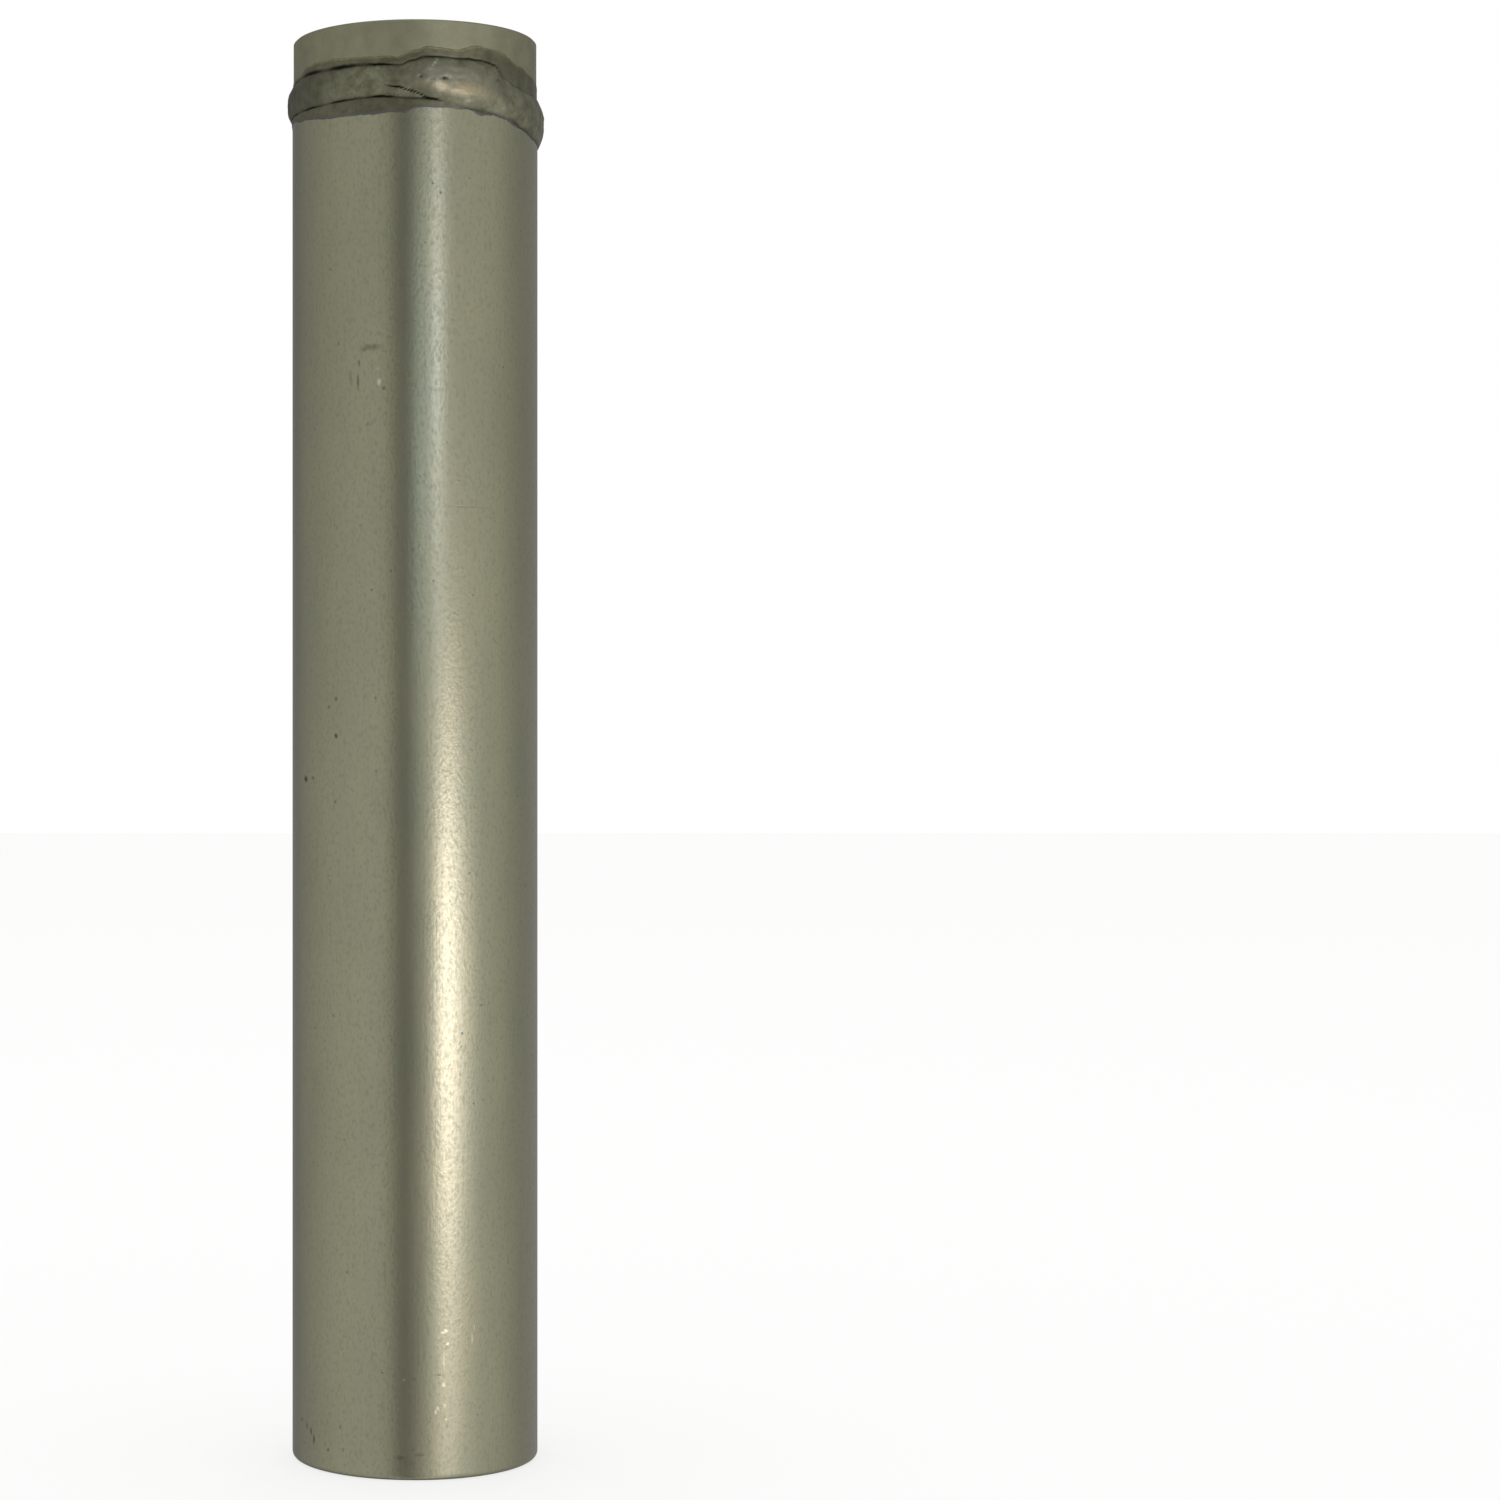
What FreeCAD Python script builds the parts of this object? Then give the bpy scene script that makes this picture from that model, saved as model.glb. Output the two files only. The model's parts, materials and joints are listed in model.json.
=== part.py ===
import FreeCAD, Part
import math
import os

import Sketcher

# Receiver drier for a car air conditioner: a drawn aluminium can with a turned head welded in its mouth.
# Lengths are in millimetres. The axis is Z, the can stands on its flat bottom at Z = 0, and the face with
# the two ports looks up. The front of the can, where the weld starts and stops, faces -Y.

SIZES = [
    ("body_diameter", 40.0, "outside of the drawn can"),
    ("total_length", 230.0, "bottom of the can to the port face"),
    ("can_wall", 1.8, "side wall of the can"),
    ("floor_thickness", 2.5, "bottom wall of the can"),
    ("foot_radius", 1.0, "outer corner at the bottom"),
    ("inner_foot_bevel", 1.0, "inner corner at the bottom"),
    ("land_step", 0.2, "how far the head's band lies inside the can's surface"),
    ("land_height", 10.9, "port face to the rim of the can"),
    ("spigot_length", 3.6, "part of the head inside the can"),
    ("spigot_clearance", 0.1, "gap round the spigot, on the radius"),
    ("weld_bevel", 1.2, "bevel on the can's rim and on the head, for the weld"),
    ("face_chamfer", 0.25, "broken edge round the port face"),
    ("port_offset", 11.3, "axis of the can to the axis of each port"),
    ("port_turn", 71.5, "direction of the outlet port, degrees from +X"),
    ("port_bore", 10.5, "bore that takes the pipe end"),
    ("port_mouth", 12.0, "wide end of the lead-in for the seal ring"),
    ("mouth_chamfer", 0.2, "broken edge of each port"),
    ("lead_in", 1.5, "depth of the lead-in cone"),
    ("outlet_depth", 8.0, "pipe bore of the outlet"),
    ("outlet_inner_bore", 9.6, "narrower bore below it"),
    ("outlet_floor", 3.0, "web at the bottom of the outlet, which grips the tube"),
    ("bolt_minor", 5.0, "minor diameter of the tapped hole"),
    ("bolt_mouth", 6.3, "countersink of the tapped hole"),
    ("bolt_depth", 11.5, "full depth of the tapped hole before the drill point"),
    ("drill_angle", 118.0, "point angle of the drill"),
    ("bead_half_width", 3.5, "half the width of the weld bead"),
    ("bead_rise", 1.0, "how far the bead stands out of the can"),
    ("bead_wander", 2.2, "how far the bead strays from the joint, up in front and down behind"),
    ("tube_diameter", 5.0, "outside of the pick-up line"),
    ("tube_wall", 0.8, "wall of the pick-up line"),
    ("cross_bend", 6.0, "bend radius below the outlet"),
    ("cross_sweep", 12.0, "radius of the gentle bend near the axis"),
    ("cross_drop", 5.2, "underside of the head to the corner of the first bend"),
    ("cross_middle_drop", 7.6, "underside of the head to the corner of the gentle bend"),
    ("cross_middle_x", -0.2, "corner of the gentle bend, along X"),
    ("cross_middle_y", -3.5, "corner of the gentle bend, along Y"),
    ("tube_side_gap", 1.8, "inside of the can to the upright pick-up tube"),
    ("elbow_turn", 258.0, "direction of the upright pick-up tube, degrees from +X"),
    ("elbow_drop", 10.6, "underside of the head to the corner of the elbow"),
    ("elbow_wall", 1.1, "rubber round the tubes"),
    ("elbow_arm", 3.6, "corner of the elbow to the mouth of its upper arm"),
    ("elbow_leg", 8.0, "corner of the elbow to the mouth of its lower arm"),
    ("elbow_lip", 0.4, "thicker ring at each mouth of the elbow, on the radius"),
    ("elbow_lip_length", 0.8, "length of that ring"),
    ("tube_stop", 2.2, "corner of the elbow to the ends of the tubes"),
    ("stack_clearance", 0.2, "gap between the drying stack and the can, on the radius"),
    ("tube_clearance", 0.15, "gap between the upright tube and the plates, on the radius"),
    ("spring_height", 18.0, "spring between the floor and the lower plate"),
    ("spring_diameter", 14.0, "mean diameter of the spring"),
    ("spring_wire", 1.6, "wire of the spring"),
    ("spring_grind", 0.5, "depth of the flat ground on each end of the spring"),
    ("spring_coil_gap", 0.15, "gap between an end coil and the next"),
    ("plate_thickness", 0.8, "sheet of the perforated plates"),
    ("plate_rim", 3.0, "height of a plate over its turned rim"),
    ("plate_bend", 0.7, "bevel where the rim turns"),
    ("hole_diameter", 4.8, "holes of the plates"),
    ("hole_pitch", 9.5, "middle of a plate to its ring of holes"),
    ("screen_thickness", 0.4, "wire gauze under each plate"),
    ("felt_thickness", 5.0, "filter pads"),
    ("head_room", 40.0, "locking ring to the underside of the head"),
    ("ring_thickness", 0.7, "toothed ring that locks the stack"),
    ("ring_width", 3.2, "radial width of that ring"),
    ("ring_bite", 0.05, "gap between the teeth and the can, on the radius"),
    ("tooth_gap", 2.2, "width of the slots between the teeth"),
    ("tooth_depth", 1.3, "depth of the slots between the teeth"),
    ("strainer_diameter", 7.4, "outside of the strainer at the foot of the tube"),
    ("strainer_height", 14.0, "height of the strainer"),
    ("strainer_wall", 0.7, "wall of the strainer"),
    ("strainer_floor", 1.0, "bottom of the strainer"),
    ("collar_height", 3.0, "top of the strainer, which grips the tube"),
    ("window_width", 2.0, "windows in the strainer"),
    ("gauze_wall", 0.3, "wire sleeve inside the strainer"),
    ("foot_gap", 2.5, "strainer's bottom to the end of the tube"),
]

TOOTH_COUNT = 12
WINDOW_COUNT = 4
BEAD_STATIONS = 48
BEAD_SIDES = 12
SPRING_STATIONS = 16
SPRING_SIDES = 8
CLOSED_TURNS = 1
OPEN_TURNS = 2.5
HOLE_RINGS = (8,)
FULL_TURN = 360
CLOSE = 0.01

doc = FreeCAD.newDocument("receiver_drier")
sheet = doc.addObject("Spreadsheet::Sheet", "Sizes")
for row, (alias, amount, meaning) in enumerate(SIZES, start=1):
    sheet.set(f"A{row}", alias)
    sheet.set(f"B{row}", str(amount))
    sheet.set(f"C{row}", meaning)
    sheet.setAlias(f"B{row}", alias)
doc.recompute()


def number(expression):
    """Value of an expression over the sheet, as a plain number."""
    result = sheet.evalExpression(expression)
    return float(getattr(result, "Value", result))


def size(alias):
    return number(f"Sizes.{alias}")


# Heights and radii that several pieces share, as expressions over the sheet.
RIM = "(Sizes.total_length - Sizes.land_height)"
UNDERSIDE = f"({RIM} - Sizes.spigot_length)"
CAN_INSIDE = "(Sizes.body_diameter / 2 - Sizes.can_wall)"
SPIGOT = f"({CAN_INSIDE} - Sizes.spigot_clearance)"
LAND = "(Sizes.body_diameter / 2 - Sizes.land_step)"
OUTLET_SEAT = f"({UNDERSIDE} + Sizes.outlet_floor)"
STACK = f"({CAN_INSIDE} - Sizes.stack_clearance)"
LOWER_PLATE = "(Sizes.floor_thickness + Sizes.spring_height)"
LOWER_SCREEN = f"({LOWER_PLATE} + Sizes.plate_thickness)"
LOWER_FELT = f"({LOWER_SCREEN} + Sizes.screen_thickness)"
BED = f"({LOWER_FELT} + Sizes.felt_thickness)"
LOCK_RING = f"({UNDERSIDE} - Sizes.head_room)"
UPPER_PLATE = f"({LOCK_RING} - Sizes.plate_rim)"
UPPER_SCREEN = f"({UPPER_PLATE} - Sizes.screen_thickness)"
UPPER_FELT = f"({UPPER_SCREEN} - Sizes.felt_thickness)"
OUTLET_X = "(Sizes.port_offset * cos(Sizes.port_turn))"
OUTLET_Y = "(Sizes.port_offset * sin(Sizes.port_turn))"
INLET_X = f"(0 - {OUTLET_X})"
INLET_Y = f"(0 - {OUTLET_Y})"
BOLT_X = f"(0 - {OUTLET_Y})"
BOLT_Y = OUTLET_X
TUBE_RADIUS = "(Sizes.tube_diameter / 2)"
TUBE_OFFSET = f"({CAN_INSIDE} - Sizes.tube_side_gap - {TUBE_RADIUS})"
TUBE_X = f"({TUBE_OFFSET} * cos(Sizes.elbow_turn))"
TUBE_Y = f"({TUBE_OFFSET} * sin(Sizes.elbow_turn))"
TUBE_BORE = f"({TUBE_RADIUS} - Sizes.tube_wall)"
ELBOW_HEIGHT = f"({UNDERSIDE} - Sizes.elbow_drop)"

pieces = []


def add_shape(label, shape):
    """Piece whose form no sketch gives, such as a bent tube."""
    feature = doc.addObject("Part::Feature", label)
    feature.Label = label
    feature.Shape = shape
    pieces.append(feature)


def new_body(label):
    body = doc.addObject("PartDesign::Body", label)
    body.Label = label
    doc.recompute()
    pieces.append(body)
    return body


def new_sketch(body, name, role, x="0", y="0", z="0"):
    """Sketch on one of the body's own planes; x, y, z say where its zero point lies in the part."""
    sketch = body.newObject("Sketcher::SketchObject", name)
    plane = next(item for item in body.Origin.OriginFeatures if item.Role == role)
    sketch.AttachmentSupport = [(plane, "")]
    sketch.MapMode = "FlatFace"
    upright = role == "XZ_Plane"
    offsets = (x, z, f"0 - ({y})") if upright else (x, y, z)
    for axis, expression in zip("xyz", offsets):
        sketch.setExpression(f"AttachmentOffset.Base.{axis}", expression)
    doc.recompute()
    return sketch


def bind(sketch, name, constraint, expression):
    """Adds a dimension and ties it to the sheet."""
    index = sketch.addConstraint(constraint)
    sketch.renameConstraint(index, name)
    sketch.setExpression(f"Constraints.{name}", expression)


def place_point(sketch, name, geometry, point, x, y):
    """Holds one point of the sketch at x, y, each an expression."""
    if x == "0":
        sketch.addConstraint(Sketcher.Constraint("PointOnObject", geometry, point, -2))
    else:
        held = Sketcher.Constraint("DistanceX", -1, 1, geometry, point, number(x))
        bind(sketch, f"{name}_across", held, x)
    if y == "0":
        sketch.addConstraint(Sketcher.Constraint("PointOnObject", geometry, point, -1))
    else:
        held = Sketcher.Constraint("DistanceY", -1, 1, geometry, point, number(y))
        bind(sketch, f"{name}_up", held, y)


def draw_outline(sketch, corners):
    """Closed outline of straight lines; each corner is a pair of expressions."""
    spots = [FreeCAD.Vector(number(x), number(y), 0) for x, y in corners]
    lines = [Part.LineSegment(spots[i - 1], spots[i]) for i in range(len(spots))]
    first = sketch.addGeometry(lines)[0]
    for i, (x, y) in enumerate(corners):
        following = (i + 1) % len(corners)
        sketch.addConstraint(Sketcher.Constraint("Coincident", first + i, 2, first + following, 1))
        place_point(sketch, f"corner{i}_of_{first}", first + i, 2, x, y)
    doc.recompute()


def draw_circle(sketch, name, x, y, radius):
    circle = Part.Circle(FreeCAD.Vector(number(x), number(y), 0), FreeCAD.Vector(0, 0, 1), number(radius))
    index = sketch.addGeometry(circle)
    place_point(sketch, name, index, 3, x, y)
    bind(sketch, f"{name}_radius", Sketcher.Constraint("Radius", index, number(radius)), radius)


def revolve(body, name, corners, x="0", y="0", cut=False):
    """Turns an outline of (radius, height) corners about an upright axis at x, y."""
    sketch = new_sketch(body, f"{name}_section", "XZ_Plane", x, y)
    draw_outline(sketch, corners)
    kind = "PartDesign::Groove" if cut else "PartDesign::Revolution"
    turned = body.newObject(kind, name)
    turned.Profile = sketch
    turned.ReferenceAxis = (sketch, ["V_Axis"])
    turned.Angle = FULL_TURN
    doc.recompute()
    return turned


def round_edge(body, name, radius, height, reach):
    """Fillets the circular edge of radius reach at the given height."""
    wanted = (number(height), number(reach))
    found = []
    before = body.Tip
    for i, edge in enumerate(before.Shape.Edges, start=1):
        curve = edge.Curve
        if isinstance(curve, Part.Circle) and math.dist((curve.Center.z, curve.Radius), wanted) < CLOSE:
            found.append(f"Edge{i}")
    rounding = body.newObject("PartDesign::Fillet", name)
    rounding.Base = (before, found)
    rounding.setExpression("Radius", radius)
    doc.recompute()


def cut_through(body, sketch, name):
    """Cuts the sketch upwards through the whole body."""
    pocket = body.newObject("PartDesign::Pocket", name)
    pocket.Profile = sketch
    pocket.Type = "ThroughAll"
    pocket.Reversed = True
    doc.recompute()
    return pocket


def polar_copies(body, sketch, feature, name, count):
    pattern = body.newObject("PartDesign::PolarPattern", name)
    pattern.Originals = [feature]
    pattern.Axis = (sketch, ["N_Axis"])
    pattern.Angle = FULL_TURN
    pattern.Occurrences = count
    body.Tip = pattern
    doc.recompute()


def pass_tube(body, clearance):
    """Hole for the upright pick-up tube."""
    sketch = new_sketch(body, "tube_hole_outline", "XY_Plane", TUBE_X, TUBE_Y)
    draw_circle(sketch, "tube_hole", "0", "0", f"{TUBE_RADIUS} + {clearance}")
    cut_through(body, sketch, "tube_hole")


def make_canister():
    """Drawn can: straight wall, flat bottom with a rounded edge, bevelled rim for the weld."""
    body = new_body("canister")
    outside = "Sizes.body_diameter / 2"
    revolve(body, "can", [
        ("0", "0"),
        (outside, "0"),
        (outside, f"{RIM} - Sizes.weld_bevel"),
        (f"{outside} - Sizes.weld_bevel", RIM),
        (CAN_INSIDE, RIM),
        (CAN_INSIDE, "Sizes.floor_thickness + Sizes.inner_foot_bevel"),
        (f"{CAN_INSIDE} - Sizes.inner_foot_bevel", "Sizes.floor_thickness"),
        ("0", "Sizes.floor_thickness"),
    ])
    round_edge(body, "foot_round", "Sizes.foot_radius", "0", outside)


def port_outline(steps):
    """Half section of a port: broken edge, lead-in cone and pipe bore, then the given steps."""
    face = "Sizes.total_length"
    mouth = "Sizes.port_mouth / 2"
    bore = "Sizes.port_bore / 2"
    return [
        ("0", face),
        (f"{mouth} + Sizes.mouth_chamfer", face),
        (mouth, f"{face} - Sizes.mouth_chamfer"),
        (bore, f"{face} - Sizes.mouth_chamfer - Sizes.lead_in"),
    ] + steps


def make_head():
    """Turned plug with the pipe ports, the tapped hole between them and a spigot inside the can."""
    body = new_body("head")
    face = "Sizes.total_length"
    revolve(body, "plug", [
        ("0", UNDERSIDE),
        (SPIGOT, UNDERSIDE),
        (SPIGOT, RIM),
        (f"{LAND} - Sizes.weld_bevel", RIM),
        (LAND, f"{RIM} + Sizes.weld_bevel"),
        (LAND, f"{face} - Sizes.face_chamfer"),
        (f"{LAND} - Sizes.face_chamfer", face),
        ("0", face),
    ])
    bore = "Sizes.port_bore / 2"
    shoulder = f"{face} - Sizes.outlet_depth"
    inner = "Sizes.outlet_inner_bore / 2"
    revolve(body, "inlet_port", port_outline([
        (bore, UNDERSIDE),
        ("0", UNDERSIDE),
    ]), INLET_X, INLET_Y, cut=True)
    revolve(body, "outlet_port", port_outline([
        (bore, shoulder),
        (inner, shoulder),
        (inner, OUTLET_SEAT),
        (TUBE_RADIUS, OUTLET_SEAT),
        (TUBE_RADIUS, UNDERSIDE),
        ("0", UNDERSIDE),
    ]), OUTLET_X, OUTLET_Y, cut=True)
    core = "Sizes.bolt_minor / 2"
    countersink = "Sizes.bolt_mouth / 2"
    full_depth = f"{face} - Sizes.bolt_depth"
    revolve(body, "bolt_hole", [
        ("0", face),
        (countersink, face),
        (core, f"{face} - {countersink} + {core}"),
        (core, full_depth),
        ("0", f"{full_depth} - {core} / tan(Sizes.drill_angle / 2)"),
    ], BOLT_X, BOLT_Y, cut=True)


def bead_section(turn):
    """Centre height, half width and rise of the weld bead in the direction turn, in radians."""
    from_front = turn + math.pi / 2
    wander = size("bead_wander")
    height = number(RIM) + wander * (0.78 * math.cos(from_front) - 0.64 * math.sin(from_front))
    half_width = size("bead_half_width") * (1 + 0.10 * math.sin(from_front) + 0.05 * math.sin(5 * turn))
    rise = size("bead_rise") * (1 + 0.08 * math.sin(7 * turn) + 0.06 * math.cos(4 * turn))
    return height, half_width, rise


def make_weld_bead():
    """Uneven ring of weld metal that fills the bevel between can and head and laps over both."""
    middle = size("body_diameter") / 2
    sections = []
    for i in range(BEAD_STATIONS):
        turn = 2 * math.pi * i / BEAD_STATIONS
        height, half_width, rise = bead_section(turn)
        corners = []
        for j in range(BEAD_SIDES + 1):
            side = 2 * math.pi * (j % BEAD_SIDES) / BEAD_SIDES
            reach = middle + rise * math.cos(side)
            level = height + half_width * math.sin(side)
            corners.append(FreeCAD.Vector(reach * math.cos(turn), reach * math.sin(turn), level))
        sections.append(Part.makePolygon(corners))
    ring = Part.makeLoft(sections, True, True, True)
    if ring.Volume < 0:
        ring.reverse()
    bead = ring.cut([doc.getObject("canister").Shape, doc.getObject("head").Shape])
    add_shape("weld_bead", max(bead.Solids, key=lambda solid: solid.Volume))


def rounded_path(corners, radii):
    """Wire through the corners with a tangent arc of the given radius at each inner one."""
    edges = []
    start = corners[0]
    for before, corner, after, radius in zip(corners, corners[1:], corners[2:], radii):
        arriving = (corner - before).normalize()
        leaving = (after - corner).normalize()
        half_turn = arriving.getAngle(leaving) / 2
        tangent = radius * math.tan(half_turn)
        inward = (leaving - arriving).normalize()
        centre = corner + inward * (radius / math.cos(half_turn))
        middle = centre - inward * radius
        arc_start = corner - arriving * tangent
        arc_end = corner + leaving * tangent
        edges.append(Part.LineSegment(start, arc_start).toShape())
        edges.append(Part.Arc(arc_start, middle, arc_end).toShape())
        start = arc_end
    edges.append(Part.LineSegment(start, corners[-1]).toShape())
    return Part.Wire(edges)


def tube_along(path, start, direction):
    """Round tube of the pick-up line's section, swept along a wire."""
    walls = []
    for radius in (number(TUBE_RADIUS), number(TUBE_BORE)):
        section = Part.Wire(Part.makeCircle(radius, start, direction))
        walls.append(path.makePipeShell([section], True, True))
    return walls[0].cut(walls[1])


def cross_tube_corners():
    """Corners of the bent tube, from the outlet's seat to the corner of the elbow."""
    underside = number(UNDERSIDE)
    outlet_x, outlet_y = number(OUTLET_X), number(OUTLET_Y)
    top = FreeCAD.Vector(outlet_x, outlet_y, number(OUTLET_SEAT))
    under_outlet = FreeCAD.Vector(outlet_x, outlet_y, underside - size("cross_drop"))
    middle = FreeCAD.Vector(
        size("cross_middle_x"), size("cross_middle_y"), underside - size("cross_middle_drop"))
    elbow = FreeCAD.Vector(number(TUBE_X), number(TUBE_Y), number(ELBOW_HEIGHT))
    return top, under_outlet, middle, elbow


def make_cross_tube():
    """Bent tube under the head, from the outlet across the inlet port to the elbow."""
    top, under_outlet, middle, elbow = cross_tube_corners()
    backwards = (middle - elbow).normalize()
    end = elbow + backwards * size("tube_stop")
    path = rounded_path([top, under_outlet, middle, end], [size("cross_bend"), size("cross_sweep")])
    add_shape("cross_tube", tube_along(path, top, FreeCAD.Vector(0, 0, -1)))


def make_elbow():
    """Moulded rubber elbow that joins the bent tube to the upright one, with a lip at each mouth."""
    corner = cross_tube_corners()[3]
    towards_tube = (cross_tube_corners()[2] - corner).normalize()
    down = FreeCAD.Vector(0, 0, -1)
    tube_radius = number(TUBE_RADIUS)
    outer = tube_radius + size("elbow_wall")
    lip = size("elbow_lip_length")
    shape = Part.makeSphere(outer, corner)
    hollow = Part.makeSphere(number(TUBE_BORE), corner)
    for direction, length in ((towards_tube, size("elbow_arm")), (down, size("elbow_leg"))):
        stop = size("tube_stop")
        shape = shape.fuse(Part.makeCylinder(outer, length, corner, direction))
        mouth = corner + direction * (length - lip)
        shape = shape.fuse(Part.makeCylinder(outer + size("elbow_lip"), lip, mouth, direction))
        hollow = hollow.fuse(Part.makeCylinder(number(TUBE_BORE), stop, corner, direction))
        seat = corner + direction * stop
        hollow = hollow.fuse(Part.makeCylinder(tube_radius, length - stop, seat, direction))
    add_shape("elbow", shape.cut(hollow).removeSplitter())


def make_dip_tube():
    """Straight pick-up tube from the elbow down to the strainer."""
    body = new_body("dip_tube")
    foot = "Sizes.floor_thickness + Sizes.strainer_floor + Sizes.foot_gap"
    top = f"{ELBOW_HEIGHT} - Sizes.tube_stop"
    revolve(body, "tube", [
        (TUBE_BORE, foot),
        (TUBE_RADIUS, foot),
        (TUBE_RADIUS, top),
        (TUBE_BORE, top),
    ], TUBE_X, TUBE_Y)


def make_disc(label, low, thickness):
    """Round layer of the drying stack, with a hole that fits the pick-up tube."""
    body = new_body(label)
    revolve(body, "disc", [
        ("0", low),
        (STACK, low),
        (STACK, f"{low} + {thickness}"),
        ("0", f"{low} + {thickness}"),
    ])
    pass_tube(body, "0")


def hole_spots():
    """Places of a plate's holes, as expressions, leaving out those that would meet the tube."""
    tube = (number(TUBE_X), number(TUBE_Y))
    room = number(TUBE_RADIUS) + size("hole_diameter") / 2 + 2 * size("plate_thickness")
    spots = [("0", "0")]
    for ring, count in enumerate(HOLE_RINGS, start=1):
        for i in range(count):
            turn = FULL_TURN * i / count
            x = f"Sizes.hole_pitch * {ring} * cos({turn})"
            y = f"Sizes.hole_pitch * {ring} * sin({turn})"
            if math.dist((number(x), number(y)), tube) > room:
                spots.append((x, y))
    return spots


def make_plate(label, low, rim_up):
    """Perforated sheet cup: a flat disc with a turned rim, punched with rings of holes."""
    body = new_body(label)
    high = f"{low} + Sizes.plate_thickness"
    rim_end = f"{low} + Sizes.plate_rim" if rim_up else f"{high} - Sizes.plate_rim"
    flat, inner = (low, high) if rim_up else (high, low)
    bend = f"{low} + Sizes.plate_bend" if rim_up else f"{high} - Sizes.plate_bend"
    revolve(body, "cup", [
        ("0", flat),
        (f"{STACK} - Sizes.plate_bend", flat),
        (STACK, bend),
        (STACK, rim_end),
        (f"{STACK} - Sizes.plate_thickness", rim_end),
        (f"{STACK} - Sizes.plate_thickness", inner),
        ("0", inner),
    ])
    sketch = new_sketch(body, "punch_outline", "XY_Plane")
    for i, (x, y) in enumerate(hole_spots()):
        draw_circle(sketch, f"hole{i}", x, y, "Sizes.hole_diameter / 2")
    doc.recompute()
    cut_through(body, sketch, "punched_holes")
    pass_tube(body, "Sizes.tube_clearance")


def spring_height_at(turns, rise):
    """Climb of the wire after some turns: close coils at both ends, open ones between."""
    close_pitch = size("spring_wire") + size("spring_coil_gap")
    open_rise = rise - 2 * CLOSED_TURNS * close_pitch
    along = min(max((turns - CLOSED_TURNS) / OPEN_TURNS, 0), 1)
    closed_turns = min(turns, CLOSED_TURNS) + max(turns - CLOSED_TURNS - OPEN_TURNS, 0)
    return close_pitch * closed_turns + open_rise * along


def make_spring():
    """Coil spring that keeps the drying beads packed; its end coils are ground flat."""
    wire = size("spring_wire") / 2
    floor = size("floor_thickness")
    height = size("spring_height")
    low = floor + wire - size("spring_grind")
    rise = height - 2 * (wire - size("spring_grind"))
    mean = size("spring_diameter") / 2
    sections = []
    for i in range(round((2 * CLOSED_TURNS + OPEN_TURNS) * SPRING_STATIONS) + 1):
        turns = i / SPRING_STATIONS
        turn = 2 * math.pi * turns
        climb = low + spring_height_at(turns, rise)
        corners = []
        for j in range(SPRING_SIDES + 1):
            side = 2 * math.pi * (j % SPRING_SIDES) / SPRING_SIDES
            reach = mean + wire * math.cos(side)
            level = climb + wire * math.sin(side)
            corners.append(FreeCAD.Vector(reach * math.cos(turn), reach * math.sin(turn), level))
        sections.append(Part.makePolygon(corners))
    coil = Part.makeLoft(sections, True, True)
    between_seats = Part.makeCylinder(2 * mean, height, FreeCAD.Vector(0, 0, floor))
    add_shape("spring", coil.common(between_seats))


def make_lock_ring():
    """Toothed ring pressed into the can above the upper plate, which holds the stack down."""
    body = new_body("lock_ring")
    outer = f"({CAN_INSIDE} - Sizes.ring_bite)"
    high = f"{LOCK_RING} + Sizes.ring_thickness"
    revolve(body, "ring", [
        (f"{outer} - Sizes.ring_width", LOCK_RING),
        (outer, LOCK_RING),
        (outer, high),
        (f"{outer} - Sizes.ring_width", high),
    ])
    sketch = new_sketch(body, "tooth_gap_outline", "XY_Plane")
    half = "Sizes.tooth_gap / 2"
    draw_outline(sketch, [
        (f"{outer} - Sizes.tooth_depth", f"0 - {half}"),
        (f"{outer} + 1", f"0 - {half}"),
        (f"{outer} + 1", half),
        (f"{outer} - Sizes.tooth_depth", half),
    ])
    slot = cut_through(body, sketch, "tooth_gap")
    polar_copies(body, sketch, slot, "tooth_gaps", TOOTH_COUNT)
    pass_tube(body, "Sizes.tube_clearance")


def make_strainer():
    """Moulded cup at the foot of the pick-up tube, with windows round its wall."""
    body = new_body("strainer")
    outer = "(Sizes.strainer_diameter / 2)"
    inner = f"({outer} - Sizes.strainer_wall)"
    low = "Sizes.floor_thickness"
    high = f"({low} + Sizes.strainer_height)"
    collar = f"({high} - Sizes.collar_height)"
    revolve(body, "cup", [
        ("0", low),
        (outer, low),
        (outer, high),
        (TUBE_RADIUS, high),
        (TUBE_RADIUS, collar),
        (inner, collar),
        (inner, f"{low} + Sizes.strainer_floor"),
        ("0", f"{low} + Sizes.strainer_floor"),
    ], TUBE_X, TUBE_Y)
    sketch = new_sketch(body, "window_outline", "XZ_Plane", TUBE_X, TUBE_Y)
    half = "Sizes.window_width / 2"
    sill = f"{low} + 2 * Sizes.strainer_floor"
    lintel = f"{collar} - Sizes.strainer_floor"
    draw_outline(sketch, [
        (f"0 - {half}", sill),
        (half, sill),
        (half, lintel),
        (f"0 - {half}", lintel),
    ])
    window = body.newObject("PartDesign::Pocket", "window")
    window.Profile = sketch
    window.setExpression("Length", outer)
    doc.recompute()
    pattern = body.newObject("PartDesign::PolarPattern", "windows")
    pattern.Originals = [window]
    pattern.Axis = (sketch, ["V_Axis"])
    pattern.Angle = FULL_TURN
    pattern.Occurrences = WINDOW_COUNT
    body.Tip = pattern
    doc.recompute()


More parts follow.
